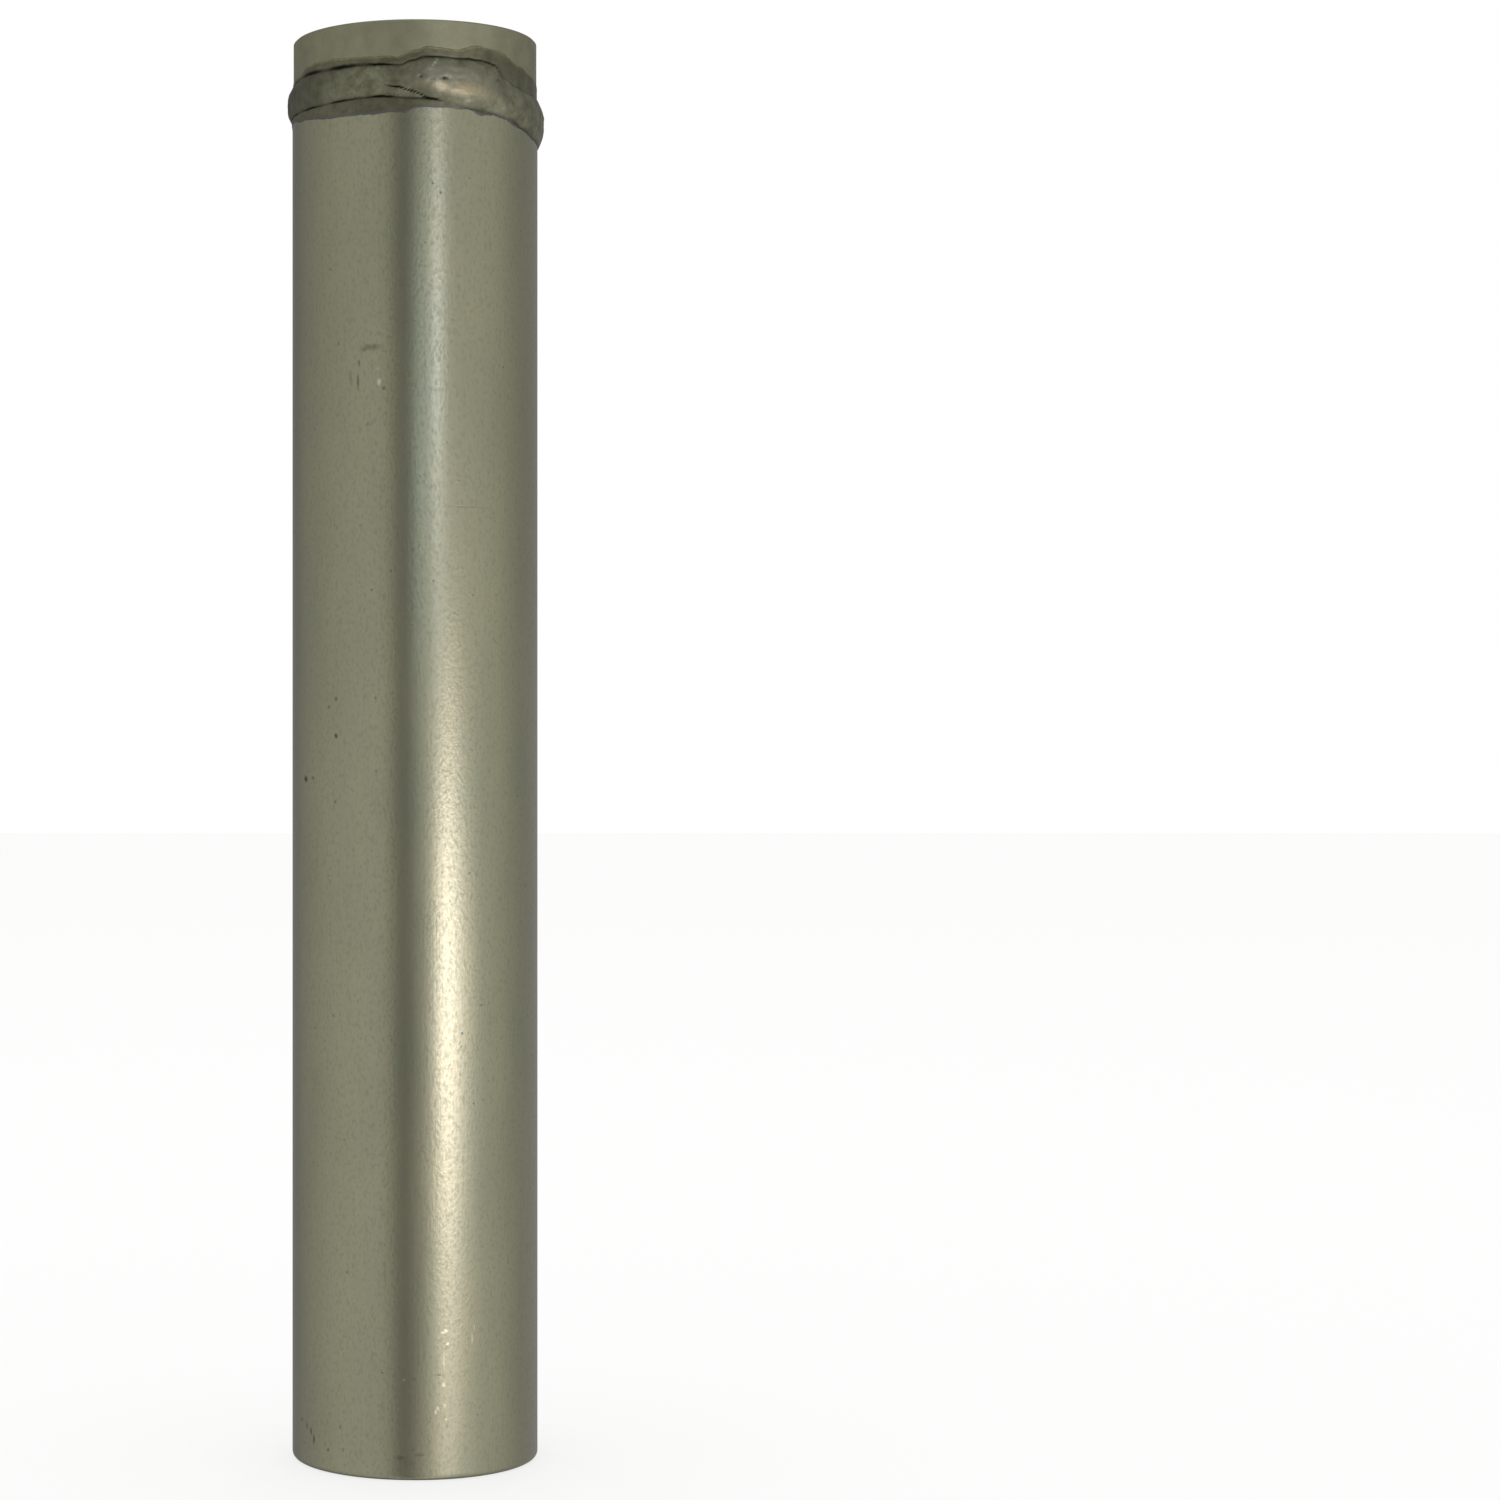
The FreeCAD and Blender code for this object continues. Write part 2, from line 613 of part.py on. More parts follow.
def make_strainer_gauze():
    """Sleeve of fine wire cloth inside the strainer."""
    body = new_body("strainer_gauze")
    outer = "(Sizes.strainer_diameter / 2 - Sizes.strainer_wall)"
    low = "(Sizes.floor_thickness + Sizes.strainer_floor)"
    high = "(Sizes.floor_thickness + Sizes.strainer_height - Sizes.collar_height)"
    revolve(body, "sleeve", [
        (f"{outer} - Sizes.gauze_wall", low),
        (outer, low),
        (outer, high),
        (f"{outer} - Sizes.gauze_wall", high),
    ], TUBE_X, TUBE_Y)


make_canister()
make_head()
make_weld_bead()
make_cross_tube()
make_elbow()
make_dip_tube()
make_strainer()
make_strainer_gauze()
make_spring()
make_plate("lower_plate", LOWER_PLATE, rim_up=False)
make_disc("lower_screen", LOWER_SCREEN, "Sizes.screen_thickness")
make_disc("lower_felt", LOWER_FELT, "Sizes.felt_thickness")
make_disc("desiccant_bed", BED, f"({UPPER_FELT} - {BED})")
make_disc("upper_felt", UPPER_FELT, "Sizes.felt_thickness")
make_disc("upper_screen", UPPER_SCREEN, "Sizes.screen_thickness")
make_plate("upper_plate", UPPER_PLATE, rim_up=True)
make_lock_ring()
doc.recompute()

for item in doc.Objects:
    if "Invalid" in item.State or "Error" in item.State:
        raise RuntimeError(f"{item.Label} failed: {item.State}")
for piece in pieces:
    if piece.Shape.isNull() or not piece.Shape.isValid():
        raise RuntimeError(f"{piece.Label} has no sound shape")

os.makedirs("parts", exist_ok=True)
for piece in pieces:
    piece.Shape.exportStep(f"parts/{piece.Label}.step")
    print(piece.Label, len(piece.Shape.Solids), "solid", round(piece.Shape.Volume, 2), "mm3")
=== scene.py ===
# %% [markdown]
# # A welded aluminium receiver drier
# The object is a slim can from the liquid line of a car air conditioner. It was drawn from aluminium, closed
# with a turned head and welded round the joint. We load its measured model first, then make every visible
# surface again with the finish of the real one: drawn wall, turned face, uneven weld, tapped hole.

# %% Load the measured frame
import bpy
import json
import math
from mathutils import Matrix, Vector, noise


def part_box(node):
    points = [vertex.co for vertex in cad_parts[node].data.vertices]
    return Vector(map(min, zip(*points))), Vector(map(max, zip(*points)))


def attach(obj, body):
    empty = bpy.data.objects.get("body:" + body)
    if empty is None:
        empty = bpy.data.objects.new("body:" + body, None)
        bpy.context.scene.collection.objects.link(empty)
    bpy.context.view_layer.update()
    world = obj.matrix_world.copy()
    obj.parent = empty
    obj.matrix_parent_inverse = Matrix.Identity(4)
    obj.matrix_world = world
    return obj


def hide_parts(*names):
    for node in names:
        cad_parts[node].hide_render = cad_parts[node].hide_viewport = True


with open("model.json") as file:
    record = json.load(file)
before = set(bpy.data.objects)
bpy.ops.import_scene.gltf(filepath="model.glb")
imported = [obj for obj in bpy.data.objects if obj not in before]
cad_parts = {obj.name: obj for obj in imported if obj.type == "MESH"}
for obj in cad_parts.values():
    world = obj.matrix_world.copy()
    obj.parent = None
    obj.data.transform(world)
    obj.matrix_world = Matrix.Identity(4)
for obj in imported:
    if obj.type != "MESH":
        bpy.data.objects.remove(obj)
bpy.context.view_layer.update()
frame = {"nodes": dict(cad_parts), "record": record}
BODY = "root"
MM = 0.001
print("nodes:", sorted(frame["nodes"]))

# %% [markdown]
# The sizes are read from the frame, so that the new pieces always fit it. What its boxes don't hold, such as
# the radius of a port, comes from its mounts. Only the can's wall, floor and corners are written out.

# %% Sizes from the frame
can_low, can_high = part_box("canister")
head_low, head_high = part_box("head")
CAN_RADIUS = (can_high.x - can_low.x) / 2
RIM = can_high.z
TOP = head_high.z
UNDERSIDE = head_low.z
LAND_RADIUS = (head_high.x - head_low.x) / 2
mounts = {mount["name"]: mount for mount in frame["record"]["mounts"]}
INLET = Vector(mounts["inlet_port"]["pos_m"])
OUTLET = Vector(mounts["outlet_port"]["pos_m"])
BOLT = Vector(mounts["fitting_bolt"]["pos_m"])
PORT_RADIUS = mounts["inlet_port"]["dims"]["r_mm"] * MM
WALL = 1.8 * MM
FLOOR = 2.5 * MM
FOOT_RADIUS = 1.0 * MM
INNER_CORNER = 1.0 * MM
WELD_BEVEL = 1.2 * MM
print(f"can {CAN_RADIUS / MM:.1f} mm radius, rim at {RIM / MM:.1f} mm, face at {TOP / MM:.1f} mm")

# %% [markdown]
# The photograph is a level view of the upright can from about half a metre, and the can stands left of the
# middle without leaning. A level camera with a sideways lens shift gives exactly that: turning the camera
# instead would make the two sides of the can unequal.

# %% Camera
# Pixels of the photograph: its side, and the point of the can's axis that lies level with the eye.
PHOTO_SIDE = 1500
AXIS_PIXEL = (415, 751)
# Size of a pixel at that axis.
PIXEL = 0.1633 * MM
EYE_DISTANCE = 536 * MM
EYE_HEIGHT = TOP / 2
SENSOR = 36.0

camera_data = bpy.data.cameras.new("camera")
camera_data.sensor_width = SENSOR
camera_data.lens = SENSOR * EYE_DISTANCE / (PHOTO_SIDE * PIXEL)
camera_data.shift_x = (PHOTO_SIDE / 2 - AXIS_PIXEL[0]) / PHOTO_SIDE
camera = bpy.data.objects.new("camera", camera_data)
bpy.context.scene.collection.objects.link(camera)
camera.location = (0, -EYE_DISTANCE, EYE_HEIGHT)
camera.rotation_euler = (math.pi / 2, 0, 0)
bpy.context.scene.camera = camera
print(f"lens {camera_data.lens:.1f} mm, shift {camera_data.shift_x:.3f}")


def place_on_can(across, down):
    """Point of the can's wall that the photograph shows at this pixel."""
    ray = Vector(((across - AXIS_PIXEL[0]) * PIXEL, EYE_DISTANCE, (AXIS_PIXEL[1] - down) * PIXEL))
    eye = camera.location
    a = ray.x ** 2 + ray.y ** 2
    half_b = eye.x * ray.x + eye.y * ray.y
    c = eye.x ** 2 + eye.y ** 2 - CAN_RADIUS ** 2
    reach = (-half_b - math.sqrt(max(half_b ** 2 - a * c, 0))) / a
    return eye + ray * reach


# %% [markdown]
# Everything here was turned, drawn or drilled, so one modelling habit makes most pieces: start from a filled
# circle and extrude it ring by ring, scaling each new ring to the radius of the next step. It is the same as
# building a turned part on a lathe from its centre out, and it leaves a closed mesh.

# %% Ring-by-ring modelling
def deselect_everything():
    for item in bpy.context.selected_objects:
        item.select_set(False)


def make_active(piece):
    deselect_everything()
    piece.select_set(True)
    bpy.context.view_layer.objects.active = piece


def stack_rings(name, rings, centre=(0, 0), sides=256):
    """Closed round piece from (radius, height) rings; each ring is extruded from the one before."""
    deselect_everything()
    first_radius, first_height = rings[0]
    bpy.ops.mesh.primitive_circle_add(
        vertices=sides, radius=first_radius, fill_type="NGON", location=(*centre, first_height))
    piece = bpy.context.active_object
    piece.name = name
    bpy.ops.object.mode_set(mode="EDIT")
    bpy.ops.mesh.select_mode(type="FACE")
    bpy.ops.mesh.select_all(action="SELECT")
    radius, height = first_radius, first_height
    for next_radius, next_height in rings[1:]:
        bpy.ops.mesh.extrude_region_move(TRANSFORM_OT_translate={"value": (0, 0, next_height - height)})
        scale = next_radius / radius
        bpy.ops.transform.resize(
            value=(scale, scale, 1), center_override=(*centre, next_height))
        radius, height = next_radius, next_height
    bpy.ops.mesh.select_all(action="SELECT")
    bpy.ops.mesh.normals_make_consistent(inside=False)
    bpy.ops.object.mode_set(mode="OBJECT")
    settle(piece)
    return piece


def settle(piece):
    """Moves the place of a piece into its mesh, so that its object sits at the origin."""
    make_active(piece)
    bpy.ops.object.transform_apply(location=True, rotation=True, scale=True)


def smooth(piece, angle=30):
    make_active(piece)
    bpy.ops.object.shade_smooth_by_angle(angle=math.radians(angle))


def apply_modifiers(piece):
    make_active(piece)
    for modifier in list(piece.modifiers):
        bpy.ops.object.modifier_apply(modifier=modifier.name)


# %% [markdown]
# The can is one profile: outer wall, flat foot with a rounded corner, inner wall and floor. The corner is its
# only curve, so it gets eight steps of its own and the straight walls get none.

# %% The drawn can
FOOT_STEPS = 8


def foot_corner():
    """Rings round the can's lower corner."""
    rings = []
    for step in range(FOOT_STEPS + 1):
        turn = math.pi / 2 * step / FOOT_STEPS
        rings.append((
            CAN_RADIUS - FOOT_RADIUS * (1 - math.sin(turn)), FOOT_RADIUS * (1 - math.cos(turn))))
    return rings


can_inside = CAN_RADIUS - WALL
can = stack_rings("drawn_can", [
    (CAN_RADIUS / 3, 0),
    *foot_corner(),
    (CAN_RADIUS, RIM - WELD_BEVEL),
    (CAN_RADIUS - WELD_BEVEL, RIM),
    (can_inside, RIM),
    (can_inside, FLOOR + INNER_CORNER),
    (can_inside - INNER_CORNER, FLOOR),
    (can_inside / 3, FLOOR),
])
smooth(can)
print("can:", len(can.data.polygons), "faces")

# %% [markdown]
# The head is a turned plug: a spigot that fits the can, a bevel for the weld, and a land up to the face.

# %% The turned plug
LAND_CHAMFER = 0.25 * MM
SPIGOT_PLAY = 0.1 * MM

spigot_radius = can_inside - SPIGOT_PLAY
head = stack_rings("turned_head", [
    (spigot_radius, UNDERSIDE),
    (spigot_radius, RIM),
    (LAND_RADIUS - WELD_BEVEL, RIM),
    (LAND_RADIUS, RIM + WELD_BEVEL),
    (LAND_RADIUS, TOP - LAND_CHAMFER),
    (LAND_RADIUS - LAND_CHAMFER, TOP),
])
print("plug:", len(head.data.polygons), "faces")

# %% [markdown]
# Its ports and the bolt hole are cutters of their own, made ring by ring like the plug. A Boolean modifier
# takes them away, as a drill and a form tool would. The mouths get round edges, because the photograph shows
# bright glints there, and the lower port keeps the thin lip of its drill.

# %% Ports and bolt hole
MOUTH_RADIUS = 6.0 * MM
EDGE_ROUND = 0.3 * MM
EDGE_STEPS = 6
DRILL_LIP = 0.3 * MM
LEAD_IN = 1.5 * MM
OVERSHOOT = 1.0 * MM
THREAD_MAJOR = 3.0 * MM
THREAD_MINOR = 2.5 * MM
THREAD_PITCH = 1.0 * MM
COUNTERSINK = 3.15 * MM
BOLT_DEPTH = 11.5 * MM
RUN_OUT_START = 1.5 * MM
RUN_OUT_END = 2.0 * MM
DRILL_HALF_ANGLE = math.radians(59)
DRILL_POINT = 0.05 * MM
OUTLET_DEPTH = 8.0 * MM
OUTLET_BORE = 4.8 * MM


def broken_edge(radius):
    """Rings of a rounded edge that opens a hole of this radius into the face, and goes on through it."""
    rings = []
    for step in range(EDGE_STEPS + 1):
        turn = math.pi / 2 * step / EDGE_STEPS
        rings.append((
            radius + EDGE_ROUND * (1 - math.cos(turn)), TOP - EDGE_ROUND * (1 - math.sin(turn))))
    return rings + [(radius + EDGE_ROUND, TOP + OVERSHOOT)]


def port_rings(bottom):
    """Pipe bore, lead-in cone and rounded edge of a port, from the bottom up through the face."""
    return bottom + [(PORT_RADIUS, TOP - EDGE_ROUND - LEAD_IN)] + broken_edge(MOUTH_RADIUS)


dip_low, dip_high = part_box("dip_tube")
tube_radius = (dip_high.x - dip_low.x) / 2
outlet_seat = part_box("cross_tube")[1].z
shoulder = TOP - OUTLET_DEPTH
inlet_cutter = stack_rings("inlet_cutter", port_rings([
    (PORT_RADIUS - DRILL_LIP, UNDERSIDE - OVERSHOOT),
    (PORT_RADIUS - DRILL_LIP, UNDERSIDE + DRILL_LIP),
    (PORT_RADIUS, UNDERSIDE + 2 * DRILL_LIP),
]), INLET.xy, 128)
outlet_cutter = stack_rings("outlet_cutter", port_rings([
    (tube_radius, UNDERSIDE - OVERSHOOT),
    (tube_radius, outlet_seat),
    (OUTLET_BORE, outlet_seat),
    (OUTLET_BORE, shoulder),
    (PORT_RADIUS, shoulder),
]), OUTLET.xy, 128)
drill_tip = THREAD_MINOR / math.tan(DRILL_HALF_ANGLE)
bolt_cutter = stack_rings("bolt_cutter", [
    (DRILL_POINT, TOP - BOLT_DEPTH - drill_tip),
    (THREAD_MINOR, TOP - BOLT_DEPTH),
    (THREAD_MINOR, TOP - BOLT_DEPTH + RUN_OUT_START),
    (THREAD_MAJOR, TOP - BOLT_DEPTH + RUN_OUT_END),
    (THREAD_MAJOR, TOP - EDGE_ROUND - COUNTERSINK + THREAD_MAJOR),
    *broken_edge(COUNTERSINK - EDGE_ROUND),
], BOLT.xy, 96)

for cutter in (inlet_cutter, outlet_cutter, bolt_cutter):
    cut = head.modifiers.new(cutter.name, "BOOLEAN")
    cut.operation = "DIFFERENCE"
    cut.solver = "EXACT"
    cut.object = cutter
apply_modifiers(head)
for cutter in (inlet_cutter, outlet_cutter, bolt_cutter):
    bpy.data.objects.remove(cutter)
smooth(head)
print("head:", len(head.data.polygons), "faces")

# %% [markdown]
# The M6 thread is a ridge with a 60 degree flank that winds down the hole. Its cross-section is a triangle
# whose base lies inside the wall, and the Screw modifier carries it down, one pitch a turn.

# %% The thread of the bolt hole
THREAD_STEPS = 48
THREAD_TURNS = 9
THREAD_SINK = 0.12 * MM
THREAD_LEAD = 0.3 * MM
HALF_BASE = 0.46 * THREAD_PITCH
MERGE = 0.001 * MM

deselect_everything()
bpy.ops.mesh.primitive_circle_add(
    vertices=3, radius=THREAD_PITCH / 2, fill_type="NGON", location=(0, 0, 0),
    rotation=(math.pi / 2, 0, 0))
thread = bpy.context.active_object
thread.name = "bolt_thread"
bpy.ops.object.transform_apply(location=False, rotation=True, scale=True)
thread_start = TOP - COUNTERSINK + THREAD_MAJOR - THREAD_LEAD
base = THREAD_MAJOR + THREAD_SINK
corners = [(THREAD_MINOR, 0.0), (base, -HALF_BASE), (base, HALF_BASE)]
for point, (radius, height) in zip(thread.data.vertices, corners):
    point.co = Vector((radius, 0, height))
winding = thread.modifiers.new("winding", "SCREW")
winding.angle = 2 * math.pi
winding.screw_offset = -THREAD_PITCH
winding.iterations = THREAD_TURNS
winding.steps = THREAD_STEPS
winding.render_steps = THREAD_STEPS
winding.axis = "Z"
apply_modifiers(thread)
thread.location = (BOLT.x, BOLT.y, thread_start)
settle(thread)


def close_and_turn_out(piece):
    """Merges doubled points, fills open ends and points all faces outwards."""
    make_active(piece)
    bpy.ops.object.mode_set(mode="EDIT")
    bpy.ops.mesh.select_mode(type="VERT")
    bpy.ops.mesh.select_all(action="SELECT")
    bpy.ops.mesh.remove_doubles(threshold=MERGE)
    bpy.ops.mesh.select_all(action="DESELECT")
    bpy.ops.mesh.select_non_manifold()
    bpy.ops.mesh.fill()
    bpy.ops.mesh.select_all(action="SELECT")
    bpy.ops.mesh.normals_make_consistent(inside=False)
    bpy.ops.object.mode_set(mode="OBJECT")


close_and_turn_out(thread)
smooth(thread)
print("thread:", len(thread.data.polygons), "faces")

# %% [markdown]
# The weld is the liveliest surface, and no two are alike, so its outline is measured on the photograph: how
# deep below the face each of its edges lies, in each direction. A thin film of melted metal spreads on both
# sides of the raised bead. The back isn't in the photograph, so there the edges simply wander on.

# %% Outline of the weld
# Each point: degrees from the front, growing to the right, and millimetres below the face.
STAIN_TOP = [
    (-180, 8.2), (-120, 7.0), (-90, 6.4), (-68, 6.0), (-60, 5.2), (-50, 5.0), (-22, 5.4), (-8, 5.6), (0, 4.8),
    (6, 4.0), (20, 4.3), (28, 3.5), (42, 3.6), (55, 5.1), (66, 5.8), (95, 7.2), (140, 8.6), (180, 8.2)]
BEAD_TOP = [
    (-180, 9.6), (-120, 8.4), (-74, 7.2), (-60, 6.8), (-21, 6.9), (-7, 7.2), (-1, 6.5), (4, 5.9), (32, 6.0),
    (39, 6.4), (45, 8.0), (53, 9.0), (63, 9.5), (85, 9.2), (130, 10.2), (180, 9.6)]
FOLD = [(-16, 10.3), (-7, 10.8), (-2, 11.4), (8, 12.6)]
BEAD_LOW = [
    (-180, 15.4), (-120, 13.6), (-88, 12.4), (-43, 12.4), (-18, 12.1), (0, 12.5), (8, 12.6), (17, 13.2),
    (26, 13.9), (49, 14.6), (60, 15.8), (72, 16.5), (90, 16.9), (140, 16.2), (180, 15.4)]
STAIN_LOW = [
    (-180, 16.6), (-120, 15.4), (-80, 13.6), (-58, 14.4), (-43, 15.0), (-5, 15.0), (1, 14.3), (17, 14.1),
    (25, 14.2), (31, 14.9), (42, 14.8), (60, 16.1), (72, 16.8), (90, 17.3), (140, 17.2), (180, 16.6)]
# Degrees as above, and how far the middle of each pass stands out of the wall, in millimetres.
SHORT_RISE = [(-16, 0.0), (-7, 0.35), (-2, 0.85), (6, 1.08), (34, 1.04), (48, 0.9), (66, 0.6)]
LONG_RISE = [
    (-180, 0.9), (-90, 0.85), (-40, 0.68), (0, 0.62), (40, 0.8), (75, 0.95), (130, 0.85), (180, 0.9)]


def read_outline(outline, degrees):
    """Value of an outline in this direction, eased from point to point."""
    degrees = min(max(degrees, outline[0][0]), outline[-1][0])
    for (left, first), (right, second) in zip(outline, outline[1:]):
        if degrees <= right:
            share = (degrees - left) / (right - left)
            return first + (second - first) * share * share * (3 - 2 * share)


for name, outline in (("bead top", BEAD_TOP), ("bead low", BEAD_LOW)):
    print(f"{name}: {read_outline(outline, 0):.1f} mm below the face in front")

# %% [markdown]
# Two passes of weld metal are laid: a long one all round, and a short bright one that covers its start in
# front. Each is rounded across, and along each edge runs a fine groove.

# %% Forms of the weld metal
# Millimetres: the film, how far its border dips into the wall, and the least it stands out.
FILM = 0.09
SUNK = 0.5
THINNEST = 0.025
# Degrees: ends of the short pass, end of the fold and its groove, and where the long grooves get weaker.
SHORT_START, SHORT_END = -16, 66
FOLD_END = 8
FOLD_GROOVE_END = 12
TOP_GROOVE_WEAKENS = 42
LOW_GROOVE_WEAKENS = 12
# Depth of the short pass's rounded nose, millimetres below the face.
NOSE_DEPTH = 8.4
# Pits: degrees, millimetres below the face, depth of the pit.
PITS = [(2.7, 9.2, 0.20), (13.1, 9.4, 0.26), (39.5, 8.9, 0.12)]
PIT_WIDTH = 0.28


def step_up(value, width):
    """Eases from 0 to 1 while the value grows from 0 to the width."""
    share = min(max(value / width, 0), 1)
    return share * share * (3 - 2 * share)


def rounded_pass(depth, upper, lower, rise):
    """Height of a rounded pass between two edges, zero outside them."""
    side = abs(2 * (depth - upper) / (lower - upper) - 1)
    return rise * (1 - side ** 2.5) if side < 1 else 0


def groove_along(distance, strength, width=0.16):
    """Strength of a soft groove at this distance from its middle."""
    return strength * math.exp(-(distance / width) ** 2)


print(f"a rounded pass of 1 mm, half way to its edge: {rounded_pass(8, 6, 14, 1):.2f} mm")

# %% [markdown]
# Where the passes overlap the higher one wins, which leaves the dark fold of the photograph. Slow and quick
# noise fray the edges and make the lumps of the skin.

# %% Height of the weld metal
def weld_skin(degrees, depth):
    """Height of the weld's skin in millimetres, with how stained, grooved, bright and edged it is there."""
    along = math.radians(degrees) * CAN_RADIUS / MM
    place = Vector((along, depth, 0))
    slow = noise.noise(place * 0.35)
    quick = noise.noise(place * 1.3 + Vector((5, 2, 8)))
    frayed = depth + 0.28 * slow + 0.14 * quick
    below_top = frayed - read_outline(STAIN_TOP, degrees)
    above_low = read_outline(STAIN_LOW, degrees) - frayed
    from_edge = min(below_top, above_low)
    film = (FILM + SUNK) * step_up(from_edge, 0.3) - SUNK

    drift = depth + 0.10 * slow + 0.08 * quick
    top, low, fold = (read_outline(outline, degrees) for outline in (BEAD_TOP, BEAD_LOW, FOLD))
    long_pass = rounded_pass(drift, top, low, read_outline(LONG_RISE, degrees))
    short_pass = 0
    if SHORT_START < degrees < SHORT_END:
        nose = (NOSE_DEPTH - top) * step_up(-degrees + 3, 9) + 1.2 * step_up(-degrees - 4, 8)
        left_end = max(top, top + nose)
        short_low = min(fold, low) if degrees < FOLD_END else low
        short_pass = rounded_pass(drift, left_end, short_low, read_outline(SHORT_RISE, degrees))
    bead = max(long_pass, short_pass)

    uneven = 0.65 + 0.8 * noise.noise(Vector((along * 0.28, 3, 1)))
    wide = 0.16 + 0.2 * step_up(-degrees - 15, 10) * step_up(degrees + 75, 15)
    groove = groove_along(drift - top, uneven * (1.0 if degrees < TOP_GROOVE_WEAKENS else 0.35), wide)
    groove += groove_along(drift - low, uneven * (1.0 if degrees < LOW_GROOVE_WEAKENS else 0.45))
    if SHORT_START < degrees < FOLD_GROOVE_END:
        fades = step_up(degrees - SHORT_START, 8) * step_up(FOLD_GROOVE_END - degrees, 6)
        groove += groove_along(drift - fold, fades, 0.13)
    pit = 0
    for turn, deep, depth_of_pit in PITS:
        away = math.hypot((math.radians(degrees - turn) * CAN_RADIUS / MM) / 1.5, depth - deep)
        pit += depth_of_pit * math.exp(-(away / PIT_WIDTH) ** 2)

    on_bead = step_up(bead, 0.3)
    lumps = 0.13 * noise.noise(place * 0.42 + Vector((9, 4, 2))) + 0.07 * noise.noise(place * 1.1)
    ripples = 0.012 * math.sin(along * 2 * math.pi / 1.3 + 1.5 * abs(drift - (top + low) / 2))
    height = film + bead + on_bead * (lumps + ripples) + 0.02 * quick - 0.2 * min(groove, 1) - pit
    if from_edge > 0.3:
        height = max(height, THINNEST)
    shine = on_bead * step_up(short_pass - long_pass, 0.45)
    edge = groove_along(above_low - 0.3, 1, 0.3) - groove_along(below_top - 0.3, 1, 0.25)
    return height, 1 - on_bead, min(groove + 3 * pit, 1), shine, edge


print("height in front: %.2f mm, stained %.2f, grooved %.2f, bright %.2f, edged %.2f" % weld_skin(10, 9.5))

# %% [markdown]
# A torus gives a ring with enough points. Each of them is moved to its direction and depth on the weld, and
# out or in to the height of the skin there. The turned-away side of the ring is flattened inside the wall,
# where it closes the mesh. What the skin is like goes along as point attributes, for the material.

# %% The weld bead
AROUND = 960
ACROSS = 92
RING_THICKNESS = 3 * MM
OUTER_SIDE = math.radians(150)
MARGIN = 0.5
INNER_RADIUS = CAN_RADIUS - 1.0 * MM
SKIN = ("stained", "grooved", "bright", "edged")

deselect_everything()
bpy.ops.mesh.primitive_torus_add(
    major_radius=CAN_RADIUS, minor_radius=RING_THICKNESS, major_segments=AROUND,
    minor_segments=ACROSS, location=(0, 0, RIM))
weld = bpy.context.active_object
weld.name = "welded_seam"
bpy.ops.object.transform_apply(location=True, rotation=True, scale=True)
for name in SKIN:
    weld.data.attributes.new(name, "FLOAT", "POINT")
skin = [weld.data.attributes[name] for name in SKIN]
for i, point in enumerate(weld.data.vertices):
    degrees = (math.degrees(math.atan2(point.co.y, point.co.x)) + 270) % 360 - 180
    outward = Vector((point.co.x, point.co.y, 0)).normalized()
    section = math.atan2(point.co.z - RIM, point.co.xy.length - CAN_RADIUS)
    top, low = read_outline(STAIN_TOP, degrees), read_outline(STAIN_LOW, degrees)
    is_inside = abs(section) > OUTER_SIDE
    if is_inside:
        share = math.copysign((math.pi - abs(section)) / (math.pi - OUTER_SIDE), section)
    else:
        share = section / OUTER_SIDE
    depth = (top + low) / 2 - share * ((low - top) / 2 + MARGIN)
    if is_inside:
        radius, qualities = INNER_RADIUS, (1, 0, 0, 0)
    else:
        height, *qualities = weld_skin(degrees, depth)
        base = LAND_RADIUS + (CAN_RADIUS - LAND_RADIUS) * step_up(depth - (TOP - RIM) / MM + 1, 2)
        radius = base + height * MM
    point.co = Vector((outward.x * radius, outward.y * radius, TOP - depth * MM))
    for attribute, value in zip(skin, qualities):
        attribute.data[i].value = value
smooth(weld, 60)
print("weld:", len(weld.data.polygons), "faces")

# %% [markdown]
# Through the lower port a black moulded elbow shows, pushed over the ends of two tubes. It is a ball with two
# arms, each with a thicker lip. The arms are turned parts again, joined by a Boolean, and a voxel remesh with
# some smoothing gives the soft inner corners of a moulding.

# %% Rubber elbow
ELBOW_LEG = 8.0 * MM
ELBOW_ARM = 3.6 * MM
ELBOW_WALL = 1.1 * MM
ELBOW_LIP = 0.4 * MM
LIP_LENGTH = 0.8 * MM
BALL_STEPS = 12
VOXEL = 0.16 * MM
CROSS_TUBE_MIDDLE = Vector((-0.2, -3.5, 207.9)) * MM

elbow_corner = Vector(((dip_low.x + dip_high.x) / 2, (dip_low.y + dip_high.y) / 2,
                       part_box("elbow")[0].z + ELBOW_LEG))
elbow_radius = tube_radius + ELBOW_WALL


def elbow_half(name, length):
    """Arm of the elbow that points down from the origin, with a lip at its mouth and a ball at its root."""
    mouth = elbow_radius + ELBOW_LIP
    rings = [(mouth, -length), (mouth, -length + LIP_LENGTH), (elbow_radius, -length + LIP_LENGTH)]
    for step in range(BALL_STEPS):
        turn = math.pi / 2 * step / BALL_STEPS
        rings.append((elbow_radius * math.cos(turn), elbow_radius * math.sin(turn)))
    return stack_rings(name, rings, sides=96)


